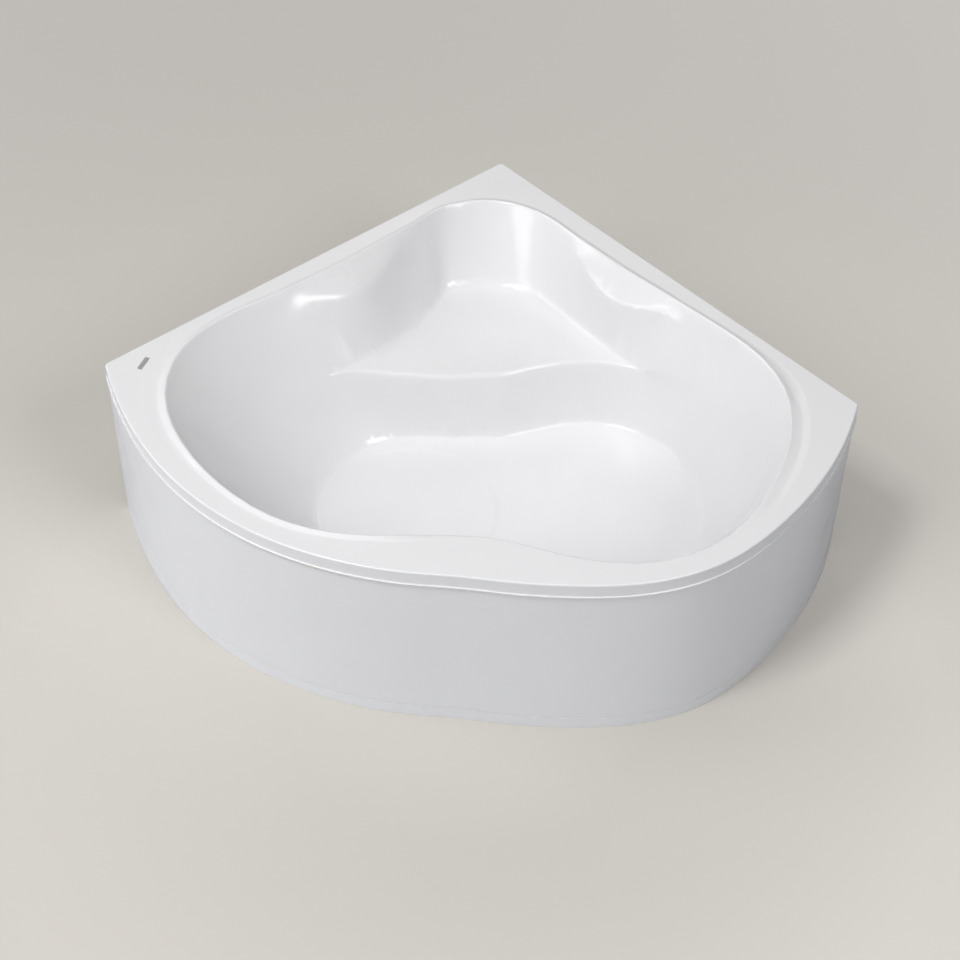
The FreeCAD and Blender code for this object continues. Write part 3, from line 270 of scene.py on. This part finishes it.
# %% Particle board
CHIP = 6 * MM
CHIP_HEIGHT = 0.4 * MM
CHIP_SQUEEZE = 3.0
particle_board, tree, shader, coordinates = new_finish("pressed_particle_board", "B59A72", 0.85)
flat = add(tree, "ShaderNodeMapping", values={"Scale": (1.0, 1.0, CHIP_SQUEEZE)},
           links={"Vector": coordinates})
chips = add(tree, "ShaderNodeTexVoronoi", values={"Scale": 1 / CHIP},
            links={"Vector": flat.outputs["Vector"]})
wood = add(tree, "ShaderNodeValToRGB", links={"Fac": chips.outputs["Color"]})
wood.color_ramp.elements[0].color = linear("8F6F45")
wood.color_ramp.elements[1].color = linear("CBB083")
wood.color_ramp.elements.new(0.5).color = linear("B08D5B")
relief = add(tree, "ShaderNodeBump", values={"Distance": CHIP_HEIGHT},
             links={"Height": chips.outputs["Distance"]})
tree.links.new(wood.outputs["Color"], shader.inputs["Base Color"])
tree.links.new(relief.outputs["Normal"], shader.inputs["Normal"])
print("chips of", round(CHIP / MM), "mm")

# %% [markdown]
# ## Steel, coated three ways
#
# The cradle's tubes are powder coated: a baked plastic skin with a fine orange peel, whose bumps
# stand 2.5 mm apart. Studs and nuts are zinc plated, a smooth metal with a cloudy tint. The wall
# hooks are cut from galvanised sheet, where the zinc froze to flat crystals about 8 mm wide, and
# each crystal has its own shade and its own dullness.

# %% Powder coat
PEEL, PEEL_HEIGHT = 2.5 * MM, 0.06 * MM
BAKE_SPOT = 120 * MM
powder_coat, tree, shader, coordinates = new_finish("grey_powder_coat", "8F9295", 0.45)
peel = add(tree, "ShaderNodeTexNoise", values={"Scale": 1 / PEEL, "Detail": 1.0},
           links={"Vector": coordinates})
relief = add(tree, "ShaderNodeBump", values={"Distance": PEEL_HEIGHT}, links={"Height": peel.outputs["Fac"]})
baked = add(tree, "ShaderNodeTexNoise", values={"Scale": 1 / BAKE_SPOT}, links={"Vector": coordinates})
sheen = add(tree, "ShaderNodeMapRange", values={"To Min": 0.38, "To Max": 0.55},
            links={"Value": baked.outputs["Fac"]})
tree.links.new(relief.outputs["Normal"], shader.inputs["Normal"])
tree.links.new(sheen.outputs["Result"], shader.inputs["Roughness"])
print("orange peel of", PEEL / MM, "mm")

# %% Zinc plate
ZINC_CLOUD = 9 * MM
zinc_plate, tree, shader, coordinates = new_finish("zinc_plated_steel", "BFC3C6", 0.3, Metallic=1.0)
cloud = add(tree, "ShaderNodeTexNoise", values={"Scale": 1 / ZINC_CLOUD, "Detail": 3.0},
            links={"Vector": coordinates})
tint = add(tree, "ShaderNodeMix", {"data_type": "RGBA"}, {6: linear("BCC2C9"), 7: linear("C9C8BE")},
           {0: cloud.outputs["Fac"]})
dull = add(tree, "ShaderNodeMapRange", values={"To Min": 0.28, "To Max": 0.42},
           links={"Value": cloud.outputs["Fac"]})
tree.links.new(tint.outputs[2], shader.inputs["Base Color"])
tree.links.new(dull.outputs["Result"], shader.inputs["Roughness"])
print("zinc clouds of", round(ZINC_CLOUD / MM), "mm")

# %% Galvanised sheet
ZINC_CRYSTAL = 8 * MM
galvanised_sheet, tree, shader, coordinates = new_finish("galvanised_sheet", "B0B4B7", 0.4, Metallic=1.0)
crystals = add(tree, "ShaderNodeTexVoronoi", values={"Scale": 1 / ZINC_CRYSTAL},
               links={"Vector": coordinates})
shade = add(tree, "ShaderNodeMix", {"data_type": "RGBA"}, {6: linear("9EA3A8"), 7: linear("BFC3C6")},
            {0: crystals.outputs["Color"]})
dull = add(tree, "ShaderNodeMapRange", values={"To Min": 0.32, "To Max": 0.52},
           links={"Value": crystals.outputs["Color"]})
tree.links.new(shade.outputs[2], shader.inputs["Base Color"])
tree.links.new(dull.outputs["Result"], shader.inputs["Roughness"])
print("zinc crystals of", round(ZINC_CRYSTAL / MM), "mm")

# %% [markdown]
# ## Chrome, plastics and rubber
#
# Chrome plate is a nearly perfect mirror, with hairline wiping marks that only change its
# roughness. The feet are nylon with glass in it, which comes out of the mould with a fine grain.
# The waste and the hose are polypropylene, a plastic that looks a little like wax: some light goes
# under its skin. The seals are rubber, dull and almost black. These four differ only in a few
# numbers, so one table and one loop make them.

# %% Chrome
WIPE = 14 * MM
chrome_plate, tree, shader, coordinates = new_finish("chrome_plate", "DADCDF", 0.06, Metallic=1.0)
wiped = add(tree, "ShaderNodeTexNoise", values={"Scale": 1 / WIPE, "Detail": 4.0},
            links={"Vector": coordinates})
smear = add(tree, "ShaderNodeMapRange", values={"To Min": 0.04, "To Max": 0.10},
            links={"Value": wiped.outputs["Fac"]})
tree.links.new(smear.outputs["Result"], shader.inputs["Roughness"])
print("wiping marks of", round(WIPE / MM), "mm")

# %% Moulded plastics and rubber
# name: two colours, lowest and highest roughness, grain in mm, its height in mm, light under the skin
MOULDED = {
    "glass_filled_nylon": ("1E1F21", "28292B", 0.48, 0.62, 0.8, 0.05, 0.0),
    "white_polypropylene": ("DFDFDB", "D6D6D1", 0.34, 0.46, 1.2, 0.02, 0.15),
    "grey_hose_polypropylene": ("A9ABAD", "9DA0A2", 0.38, 0.50, 1.2, 0.02, 0.10),
    "moulded_rubber": ("1B1B1C", "242425", 0.62, 0.78, 0.6, 0.04, 0.0),
}
FLOW_MARK = 30 * MM         # the plastic's shade and gloss change over this length, as it filled the mould
LIGHT_REACH = 2 * MM        # how far light goes under the skin
moulded = {}
for name, (light, dark, smooth, rough, grain, height, under) in MOULDED.items():
    made, tree, shader, coordinates = new_finish(name, light, smooth)
    shader.inputs["Subsurface Weight"].default_value = under
    shader.inputs["Subsurface Scale"].default_value = LIGHT_REACH
    skin = add(tree, "ShaderNodeTexNoise", values={"Scale": 1 / (grain * MM)}, links={"Vector": coordinates})
    relief = add(tree, "ShaderNodeBump", values={"Distance": height * MM},
                 links={"Height": skin.outputs["Fac"]})
    flow = add(tree, "ShaderNodeTexNoise", values={"Scale": 1 / FLOW_MARK}, links={"Vector": coordinates})
    shade = add(tree, "ShaderNodeMix", {"data_type": "RGBA"}, {6: linear(light), 7: linear(dark)},
                {0: flow.outputs["Fac"]})
    dull = add(tree, "ShaderNodeMapRange", values={"To Min": smooth, "To Max": rough},
               links={"Value": flow.outputs["Fac"]})
    tree.links.new(shade.outputs[2], shader.inputs["Base Color"])
    tree.links.new(dull.outputs["Result"], shader.inputs["Roughness"])
    tree.links.new(relief.outputs["Normal"], shader.inputs["Normal"])
    moulded[name] = made
print("moulded finishes:", ", ".join(moulded))

# %% [markdown]
# ## Brushed plate
#
# A small metal plate is set in the left corner of the deck. It was brushed along its length, which
# leaves scratches that run one way. Noise that is squeezed forty times across the plate draws them.
# The plate's long side lies 29 degrees from the X axis, so the pattern is turned by as much.

# %% Brushed aluminium
PLATE_TURN = math.radians(29.2)
SCRATCH = 20 * MM
SCRATCH_SQUEEZE = 40.0
brushed_plate, tree, shader, coordinates = new_finish("brushed_aluminium", "A3A6AA", 0.35, Metallic=1.0)
along = add(tree, "ShaderNodeMapping", values={"Rotation": (0.0, 0.0, -PLATE_TURN)},
            links={"Vector": coordinates})
drawn = add(tree, "ShaderNodeMapping", values={"Scale": (1.0, SCRATCH_SQUEEZE, 1.0)},
            links={"Vector": along.outputs["Vector"]})
lines = add(tree, "ShaderNodeTexNoise", values={"Scale": 1 / SCRATCH, "Detail": 3.0},
            links={"Vector": drawn.outputs["Vector"]})
shade = add(tree, "ShaderNodeMix", {"data_type": "RGBA"}, {6: linear("9A9DA1"), 7: linear("BEC1C4")},
            {0: lines.outputs["Fac"]})
dull = add(tree, "ShaderNodeMapRange", values={"To Min": 0.28, "To Max": 0.48},
           links={"Value": lines.outputs["Fac"]})
tree.links.new(shade.outputs[2], shader.inputs["Base Color"])
tree.links.new(dull.outputs["Result"], shader.inputs["Roughness"])
print("brushed at", round(math.degrees(PLATE_TURN), 1), "degrees")

# %% [markdown]
# ## Each solid gets its finish
#
# Every solid names a slot, such as the cradle's steel, and one table says which finish each slot
# gets. So two pieces of one material can't drift apart.

# %% Give the solids their finishes
SLOT_FINISH = {
    "sanitary_acrylic": thermoformed_acrylic, "skirt_acrylic": formed_skirt_sheet,
    "base_board": particle_board, "cradle_steel": powder_coat, "zinc_steel": zinc_plate,
    "hook_steel": galvanised_sheet, "chrome_trim": chrome_plate,
    "foot_plastic": moulded["glass_filled_nylon"], "waste_plastic": moulded["white_polypropylene"],
    "hose_plastic": moulded["grey_hose_polypropylene"], "seal_rubber": moulded["moulded_rubber"],
}
for subpart in frame["record"]["subparts"]:
    piece = nodes[subpart["node"]]
    piece.data.materials.clear()
    piece.data.materials.append(SLOT_FINISH[subpart["material_slot"]])

# %% [markdown]
# ## Growing a piece from a node tree
#
# Threads, ribs and flutes all repeat one small shape, which is what Geometry Nodes are for. A tree
# is built once, with named inputs for its sizes. The last function below makes an object, gives it
# the tree with the sizes of this piece, and keeps only the mesh that comes out, moved to its place.
# The inputs are set before the tree first runs, and by their identifiers, because Blender stores
# them under those.

# %% Helpers for Geometry Nodes


def new_tree(name, sizes):
    """An empty Geometry Nodes tree with a named number input for each size."""
    tree = bpy.data.node_groups.new(name, "GeometryNodeTree")
    for size in sizes:
        tree.interface.new_socket(size, in_out="INPUT", socket_type="NodeSocketFloat")
    tree.interface.new_socket("Geometry", in_out="OUTPUT", socket_type="NodeSocketGeometry")
    return tree, tree.nodes.new("NodeGroupInput").outputs


def close_tree(tree, grown, finish):
    """End a tree: its instances become real, it gets a finish, and it goes out."""
    real = add(tree, "GeometryNodeRealizeInstances", links={"Geometry": grown})
    painted = add(tree, "GeometryNodeSetMaterial", values={"Material": finish},
                  links={"Geometry": real.outputs["Geometry"]})
    add(tree, "NodeGroupOutput", links={0: painted.outputs["Geometry"]})
    print(tree.name, "has", len(tree.nodes), "nodes")


def grow(name, tree, sizes, spot, body, start=None):
    """Run a tree with these sizes, keep its mesh at its spot, and let it ride on a body."""
    piece = bpy.data.objects.new(name, start or bpy.data.meshes.new(name + "_start"))
    bpy.context.scene.collection.objects.link(piece)
    modifier = piece.modifiers.new(tree.name, "NODES")
    modifier.node_group = tree
    for socket in tree.interface.items_tree:
        if socket.name in sizes:
            modifier[socket.identifier] = sizes[socket.name]
    evaluated = piece.evaluated_get(bpy.context.evaluated_depsgraph_get())
    mesh = bpy.data.meshes.new_from_object(evaluated)
    mesh.name = name
    mesh.transform(spot)
    if start:
        bpy.data.objects.remove(piece)
        piece = bpy.data.objects.new(name, mesh)
        bpy.context.scene.collection.objects.link(piece)
    else:
        piece.modifiers.remove(modifier)
        piece.data = mesh
    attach(piece, body)
    return piece


# %% [markdown]
# ## Threaded studs
#
# The feet turn on M12 studs. Their thread is a ridge that winds round a core, one turn each
# 1.75 mm. A spiral curve follows the crest, and Curve to Mesh carries a small four-sided profile
# along it, half sunk in the core. The plain rods from the solids give each stud its place and
# length, and these pieces stand in for them.

# %% Tree of a threaded stud
THREAD = {"Core Radius": 5.25 * MM, "Ridge": 0.72 * MM, "Pitch": 1.75 * MM}
TURN_STEPS = 20
tree, sizes = new_tree("threaded_stud", ["Core Radius", "Ridge", "Pitch", "Length"])
turns = add(tree, "ShaderNodeMath", {"operation": "DIVIDE"}, links={0: sizes["Length"], 1: sizes["Pitch"]})
spiral = add(tree, "GeometryNodeCurveSpiral", values={"Resolution": TURN_STEPS},
             links={"Rotations": turns.outputs[0], "Start Radius": sizes["Core Radius"],
                    "End Radius": sizes["Core Radius"], "Height": sizes["Length"]})
ridge = add(tree, "GeometryNodeCurvePrimitiveCircle", values={"Resolution": 4},
            links={"Radius": sizes["Ridge"]})
thread = add(tree, "GeometryNodeCurveToMesh", links={"Curve": spiral.outputs["Curve"],
                                                     "Profile Curve": ridge.outputs["Curve"]})
core = add(tree, "GeometryNodeMeshCylinder", values={"Vertices": 24},
           links={"Radius": sizes["Core Radius"], "Depth": sizes["Length"]})
half = add(tree, "ShaderNodeMath", {"operation": "MULTIPLY"}, {1: 0.5}, {0: sizes["Length"]})
lift = add(tree, "ShaderNodeCombineXYZ", links={"Z": half.outputs[0]})
stood = add(tree, "GeometryNodeTransform", links={"Geometry": core.outputs["Mesh"],
                                                  "Translation": lift.outputs["Vector"]})
joined = add(tree, "GeometryNodeJoinGeometry", links={0: stood.outputs["Geometry"]})
tree.links.new(thread.outputs["Mesh"], joined.inputs[0])
close_tree(tree, joined.outputs["Geometry"], zinc_plate)

# %% Grow six studs
FOOT_PLACES = ("left", "right", "back", "front", "mid_left", "mid_right")
for foot in FOOT_PLACES:
    low, high = (Vector(corner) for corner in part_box(f"foot_stud_{foot}"))
    middle = (low + high) / 2
    # The spiral starts and ends a ridge inside the rod, so that the stud is as long as the rod.
    spot = Matrix.Translation((middle.x, middle.y, low.z + THREAD["Ridge"]))
    length = high.z - low.z - 2 * THREAD["Ridge"]
    stud = grow(f"threaded_stud_{foot}", tree, dict(THREAD, Length=length), spot, f"foot_{foot}")
    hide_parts(f"foot_stud_{foot}")
print(len(FOOT_PLACES), "studs,", len(stud.data.polygons), "faces each")

# %% [markdown]
# ## Flutes round the overflow's knob
#
# Wet fingers need something to hold, so such a knob has fine flutes round its rim. One small
# rounded bar is put on each point of a circle and laid along the knob's axis. The bars stand
# half a millimetre proud and carry the knob's own chrome.

# %% Tree of the flutes
GRIP = {"Grip Radius": 28.6 * MM, "Bar Radius": 0.9 * MM, "Bar Length": 6.5 * MM}
FLUTES = 48
tree, sizes = new_tree("fluted_grip", list(GRIP))
circle = add(tree, "GeometryNodeMeshCircle", values={"Vertices": FLUTES},
             links={"Radius": sizes["Grip Radius"]})
bar = add(tree, "GeometryNodeMeshUVSphere", values={"Segments": 10, "Rings": 6})
half = add(tree, "ShaderNodeMath", {"operation": "MULTIPLY"}, {1: 0.5}, {0: sizes["Bar Length"]})
form = add(tree, "ShaderNodeCombineXYZ", links={"X": sizes["Bar Radius"], "Y": sizes["Bar Radius"],
                                                "Z": half.outputs[0]})
bars = add(tree, "GeometryNodeInstanceOnPoints", links={"Points": circle.outputs["Mesh"],
                                                        "Instance": bar.outputs["Mesh"],
                                                        "Scale": form.outputs["Vector"]})
close_tree(tree, bars.outputs["Instances"], chrome_plate)

# %% Grow the flutes
KNOB_GRIP_LOW = 12.6 * MM       # from the overflow's seat, where the knob's full width starts
knob_joint = next(joint for joint in frame["joints"] if joint["name"] == "knob_turn")
knob_axis = Vector(knob_joint["axis"]).normalized()
grip_middle = Vector(knob_joint["pos_m"]) + knob_axis * (KNOB_GRIP_LOW + GRIP["Bar Length"] / 2)
spot = Matrix.Translation(grip_middle) @ knob_axis.to_track_quat("Z", "Y").to_matrix().to_4x4()
flutes = grow("knob_flutes", tree, GRIP, spot, "knob")
print(FLUTES, "flutes,", len(flutes.data.polygons), "faces")

# %% [markdown]
# ## Ribs of the overflow hose
#
# The hose from the overflow to the waste is a corrugated pipe, because it has to bend by hand. Its
# ribs are rings that stand 6 mm apart along its path. The path is a curve with a control point at
# each change of direction, held by its two ports. Rings on an evenly resampled curve, turned along
# it, make the ribs, and a tube along the same curve closes the pipe between them.

# %% Tree of a ribbed pipe
PIPE = {"Pipe Radius": 11.3 * MM, "Rib Pitch": 6 * MM, "Rib Radius": 1.6 * MM}
PIPE_SIDES, RIB_SIDES = 24, 8
tree, sizes = new_tree("ribbed_pipe", list(PIPE))
tree.interface.new_socket("Route", in_out="INPUT", socket_type="NodeSocketGeometry")
tree.interface.move(tree.interface.items_tree["Route"], 0)
route = tree.nodes["Group Input"].outputs["Route"]
even = add(tree, "GeometryNodeResampleCurve", {"mode": "LENGTH"},
           links={"Curve": route, "Length": sizes["Rib Pitch"]})
round_pipe = add(tree, "GeometryNodeCurvePrimitiveCircle", values={"Resolution": PIPE_SIDES},
                 links={"Radius": sizes["Pipe Radius"]})
pipe = add(tree, "GeometryNodeCurveToMesh", values={"Fill Caps": True},
           links={"Curve": even.outputs["Curve"], "Profile Curve": round_pipe.outputs["Curve"]})
rib_profile = add(tree, "GeometryNodeCurvePrimitiveCircle", values={"Resolution": RIB_SIDES},
                  links={"Radius": sizes["Rib Radius"]})
rib = add(tree, "GeometryNodeCurveToMesh", links={"Curve": round_pipe.outputs["Curve"],
                                                  "Profile Curve": rib_profile.outputs["Curve"]})
points = add(tree, "GeometryNodeCurveToPoints", {"mode": "EVALUATED"}, links={"Curve": even.outputs["Curve"]})
ribs = add(tree, "GeometryNodeInstanceOnPoints", links={"Points": points.outputs["Points"],
                                                        "Instance": rib.outputs["Mesh"],
                                                        "Rotation": points.outputs["Rotation"]})
joined = add(tree, "GeometryNodeJoinGeometry", links={0: pipe.outputs["Mesh"]})
tree.links.new(ribs.outputs["Instances"], joined.inputs[0])
close_tree(tree, joined.outputs["Geometry"], moulded["grey_hose_polypropylene"])

# %% Grow the ribbed hose
HOSE_ROUTE = [(-0.3994, -0.2343, 0.4336), (-0.3930, -0.2266, 0.4105), (-0.3869, -0.2189, 0.3877),
              (-0.3890, -0.2208, 0.3200), (-0.3893, -0.2215, 0.2500), (-0.3847, -0.2208, 0.1590),
              (-0.3640, -0.2020, 0.1120), (-0.3100, -0.1530, 0.0900), (-0.2500, -0.0987, 0.0890),
              (-0.1889, -0.0433, 0.0890)]
hose_line = bpy.data.curves.new("hose_route", "CURVE")
hose_line.dimensions = "3D"
hose_line.resolution_u = 24
spline = hose_line.splines.new("NURBS")
spline.points.add(len(HOSE_ROUTE) - 1)
for point, at in zip(spline.points, HOSE_ROUTE):
    point.co = (*at, 1.0)
spline.order_u = 3
spline.use_endpoint_u = True
hose = grow("ribbed_hose", tree, PIPE, Matrix.Identity(4), "tub", start=hose_line)
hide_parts("overflow_hose")
print("hose of", len(hose.data.polygons), "faces")

# %% [markdown]
# ## The plate on the deck
#
# The plate is 53 by 14 mm and 1.2 mm thick, with rounded corners. Its rim stands a little over a
# brushed field, which is left bare. An inset and a small step down make the rim from the plate's
# top face, and a bevel takes the sharpness off, as stamping does.

# %% Shape the plate
PLATE_SIZE = (53 * MM, 14 * MM, 1.2 * MM)
PLATE_CORNER = 1.5 * MM
RIM_WIDTH, RIM_STEP, RIM_ROUND = 1.3 * MM, 0.35 * MM, 0.15 * MM
SAME_HEIGHT = 0.01 * MM         # vertices within this of the top count as the rim's
shape = bmesh.new()
bmesh.ops.create_cube(shape, size=1.0)
bmesh.ops.scale(shape, vec=PLATE_SIZE, verts=shape.verts)
bmesh.ops.translate(shape, vec=(0, 0, PLATE_SIZE[2] / 2), verts=shape.verts)
upright = [e for e in shape.edges if abs(e.verts[0].co.z - e.verts[1].co.z) > PLATE_SIZE[2] / 2]
bmesh.ops.bevel(shape, geom=upright, offset=PLATE_CORNER, segments=5, profile=0.5, affect="EDGES")
top = max(shape.faces, key=lambda face: face.calc_center_median().z)
bmesh.ops.inset_region(shape, faces=[top], thickness=RIM_WIDTH)
bmesh.ops.translate(shape, vec=(0, 0, -RIM_STEP), verts=top.verts)
edge_height = max(vert.co.z for vert in shape.verts)
rim = [e for e in shape.edges if min(v.co.z for v in e.verts) > edge_height - SAME_HEIGHT]
bmesh.ops.bevel(shape, geom=rim, offset=RIM_ROUND, segments=2, profile=0.5, affect="EDGES")
bmesh.ops.recalc_face_normals(shape, faces=shape.faces)
print("plate", len(shape.faces), "faces")

# %% Set the plate in the deck
PLATE_MIDDLE = Vector((-0.6019, 0.7724, 0.5750))
mesh = bpy.data.meshes.new("deck_plate")
shape.to_mesh(mesh)
shape.free()
mesh.materials.append(brushed_plate)
mesh.transform(Matrix.Translation(PLATE_MIDDLE) @ Matrix.Rotation(PLATE_TURN, 4, "Z"))
deck_plate = bpy.data.objects.new("deck_plate", mesh)
bpy.context.scene.collection.objects.link(deck_plate)
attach(deck_plate, "tub")
print("plate at", [round(v, 3) for v in PLATE_MIDDLE])

# %% [markdown]
# ## The floor
#
# The floor is one large pale plane. It is a warm grey to the camera, and a neutral one to the light
# that it sends up to the skirt, as white boards round a bath would be. Light Path tells the two kinds
# of ray apart.

# %% Floor plane and paint
FLOOR_REACH = 30.0
FLOOR_LEVEL = -0.5 * MM         # a hair under the feet, so that no two faces share one plane
WARM_GREY, NEUTRAL_GREY = "C6C2BC", "C3C4C6"
floor_mesh = bpy.data.meshes.new("studio_floor")
corners = [(x * FLOOR_REACH, y * FLOOR_REACH, FLOOR_LEVEL) for x, y in ((-1, -1), (1, -1), (1, 1), (-1, 1))]
floor_mesh.from_pydata(corners, [], [(0, 1, 2, 3)])
floor = bpy.data.objects.new("studio_floor", floor_mesh)
bpy.context.scene.collection.objects.link(floor)
floor_paint, tree, shader, coordinates = new_finish("studio_floor", WARM_GREY, 0.9)
rays = add(tree, "ShaderNodeLightPath")
paint = add(tree, "ShaderNodeMix", {"data_type": "RGBA"}, {6: linear(NEUTRAL_GREY), 7: linear(WARM_GREY)},
            {0: rays.outputs["Is Camera Ray"]})
tree.links.new(paint.outputs[2], shader.inputs["Base Color"])
floor_mesh.materials.append(floor_paint)
print("floor", 2 * FLOOR_REACH, "m square")

# %% [markdown]
# ## Painted light and painted shade on the floor
#
# A real studio floor is lit by much more than the lamps near the bath, so part of its light is painted:
# a glow of its own, which only the camera sees. The painted glow grows to the right, where the lamps
# reach less. It stops close in front of the skirt and so paints a shade there, where a bath would keep
# the room's light off the floor. The rest comes from the lamps and keeps the soft shadow.

# %% Painted floor glow and painted shade
GLOW_COLOUR = "F4F1EC"
GLOW_LEFT, GLOW_RIGHT, GLOW_REACH = 0.02, 0.20, 2.4
SHADE_MIDDLE = -0.55                    # where the shade lies, in metres along the diagonal
SHADE_DEEPEST, SHADE_END = 0.5, 1.3     # how far from there it is darkest, and where it ends
# painted light: a glow that only the camera sees, weaker on the left and stronger on the right
sideways = add(tree, "ShaderNodeVectorMath", {"operation": "DOT_PRODUCT"}, {1: ACROSS}, {0: coordinates})
glow_beside = add(tree, "ShaderNodeMapRange",
                  values={"From Min": -GLOW_REACH, "From Max": GLOW_REACH, "To Min": GLOW_LEFT,
                          "To Max": GLOW_RIGHT}, links={"Value": sideways.outputs["Value"]})
# painted shade: the glow fades out close in front of the skirt
from_painted_shade = add(tree, "ShaderNodeVectorMath", {"operation": "DISTANCE"}, {1: DEEP * SHADE_MIDDLE},
               {0: coordinates})
outside_painted_shade = add(tree, "ShaderNodeMapRange", values={"From Min": SHADE_DEEPEST, "From Max": SHADE_END},
               links={"Value": from_painted_shade.outputs["Value"]})
painted_glow_here = add(tree, "ShaderNodeMath", {"operation": "MULTIPLY"},
                links={0: glow_beside.outputs["Result"], 1: outside_painted_shade.outputs["Result"]})
glow = add(tree, "ShaderNodeMath", {"operation": "MULTIPLY"},
           links={0: painted_glow_here.outputs[0], 1: rays.outputs["Is Camera Ray"]})
shader.inputs["Emission Color"].default_value = linear(GLOW_COLOUR)
tree.links.new(glow.outputs[0], shader.inputs["Emission Strength"])
print("glow from", GLOW_LEFT, "to", GLOW_RIGHT)

# %% [markdown]
# ## A floor without a horizon
#
# From 2 m away the floor melts into the room's colour, so there is no horizon. Seen from below it is
# clear, so that the feet and the cradle can be looked at.

# %% Far floor and underside
ROOM_COLOUR = "D8D5D1"
MELT_START, MELT_END = 2.0, 7.0
away = add(tree, "ShaderNodeVectorMath", {"operation": "LENGTH"}, links={0: coordinates})
melt = add(tree, "ShaderNodeMapRange", values={"From Min": MELT_START, "From Max": MELT_END},
           links={"Value": away.outputs["Value"], "To Max": rays.outputs["Is Camera Ray"]})
room = add(tree, "ShaderNodeEmission", values={"Color": linear(ROOM_COLOUR)})
seen_floor = add(tree, "ShaderNodeMixShader", links={0: melt.outputs["Result"], 1: shader.outputs["BSDF"],
                                                     2: room.outputs["Emission"]})
below = add(tree, "ShaderNodeNewGeometry").outputs["Backfacing"]
clear = add(tree, "ShaderNodeBsdfTransparent")
floor_sides = add(tree, "ShaderNodeMixShader", links={0: below, 1: seen_floor.outputs["Shader"],
                                                      2: clear.outputs["BSDF"]})
tree.links.new(floor_sides.outputs["Shader"], tree.nodes["Material Output"].inputs["Surface"])
print("floor melts between", MELT_START, "and", MELT_END, "m")

# %% [markdown]
# ## The room
#
# The room is as pale as the far floor to the camera, through clear things and in reflections, and
# gives the bath itself only a faint fill.

# %% World
ROOM_FILL = 0.05
world = bpy.data.worlds.new("studio")
bpy.context.scene.world = world
world.use_nodes = True
tree = world.node_tree
rays = add(tree, "ShaderNodeLightPath")
seen = add(tree, "ShaderNodeMath", {"operation": "MAXIMUM"},
           links={0: rays.outputs["Is Camera Ray"], 1: rays.outputs["Is Transmission Ray"]})
mirrored = add(tree, "ShaderNodeMath", {"operation": "MAXIMUM"},
               links={0: seen.outputs[0], 1: rays.outputs["Is Glossy Ray"]})
strength = add(tree, "ShaderNodeMapRange", values={"To Min": ROOM_FILL, "To Max": 1.0},
               links={"Value": mirrored.outputs[0]})
tree.nodes["Background"].inputs["Color"].default_value = linear(ROOM_COLOUR)
tree.links.new(strength.outputs["Result"], tree.nodes["Background"].inputs["Strength"])
print("room fill", ROOM_FILL)

# %% [markdown]
# ## The lamps
#
# Soft light on a white, glossy thing comes from large lamps far away. Each lamp is a square box
# that faces the bath. The strongest two stand in front, to the right and above the left, so the
# left inner wall and the right end of the skirt fall off to a soft grey. The others fill.

# %% Soft boxes
# name: metres across, deep and high, side in metres, watts
LAMPS = {
    "right_front": (5.4, -5.4, 7.2, 3.6, 345),
    "left_front": (-5.4, -5.4, 7.2, 3.6, 163),
    "left_front_low": (-6.3, -6.3, 2.2, 3.6, 135),
    "left_top": (-2.7, -2.7, 8.1, 1.8, 254),
    "left_side": (-7.2, 0.0, 5.4, 3.6, 106),
    "left_side_low": (-8.1, 0.9, 2.2, 3.6, 75),
    "ceiling": (0.0, 0.0, 8.1, 6.3, 105),
    "back": (0.0, 8.1, 6.3, 3.6, 30),
}
LOOK_AT = Vector((0, 0, 0.3))
for name, (across, deep, height, side, watts) in LAMPS.items():
    lamp_data = bpy.data.lights.new(name, "AREA")
    lamp_data.shape = "SQUARE"
    lamp_data.size = side
    lamp_data.energy = watts
    lamp = bpy.data.objects.new(name, lamp_data)
    lamp.visible_camera = False
    bpy.context.scene.collection.objects.link(lamp)
    spot = ACROSS * across + DEEP * deep + Vector((0, 0, height))
    lamp_turn = (LOOK_AT - spot).to_track_quat("-Z", "Y").to_matrix().to_4x4()
    lamp.matrix_world = Matrix.Translation(spot) @ lamp_turn
print(len(LAMPS), "lamps,", sum(lamp[-1] for lamp in LAMPS.values()), "watts")

bpy.context.scene.view_settings.view_transform = "Standard"
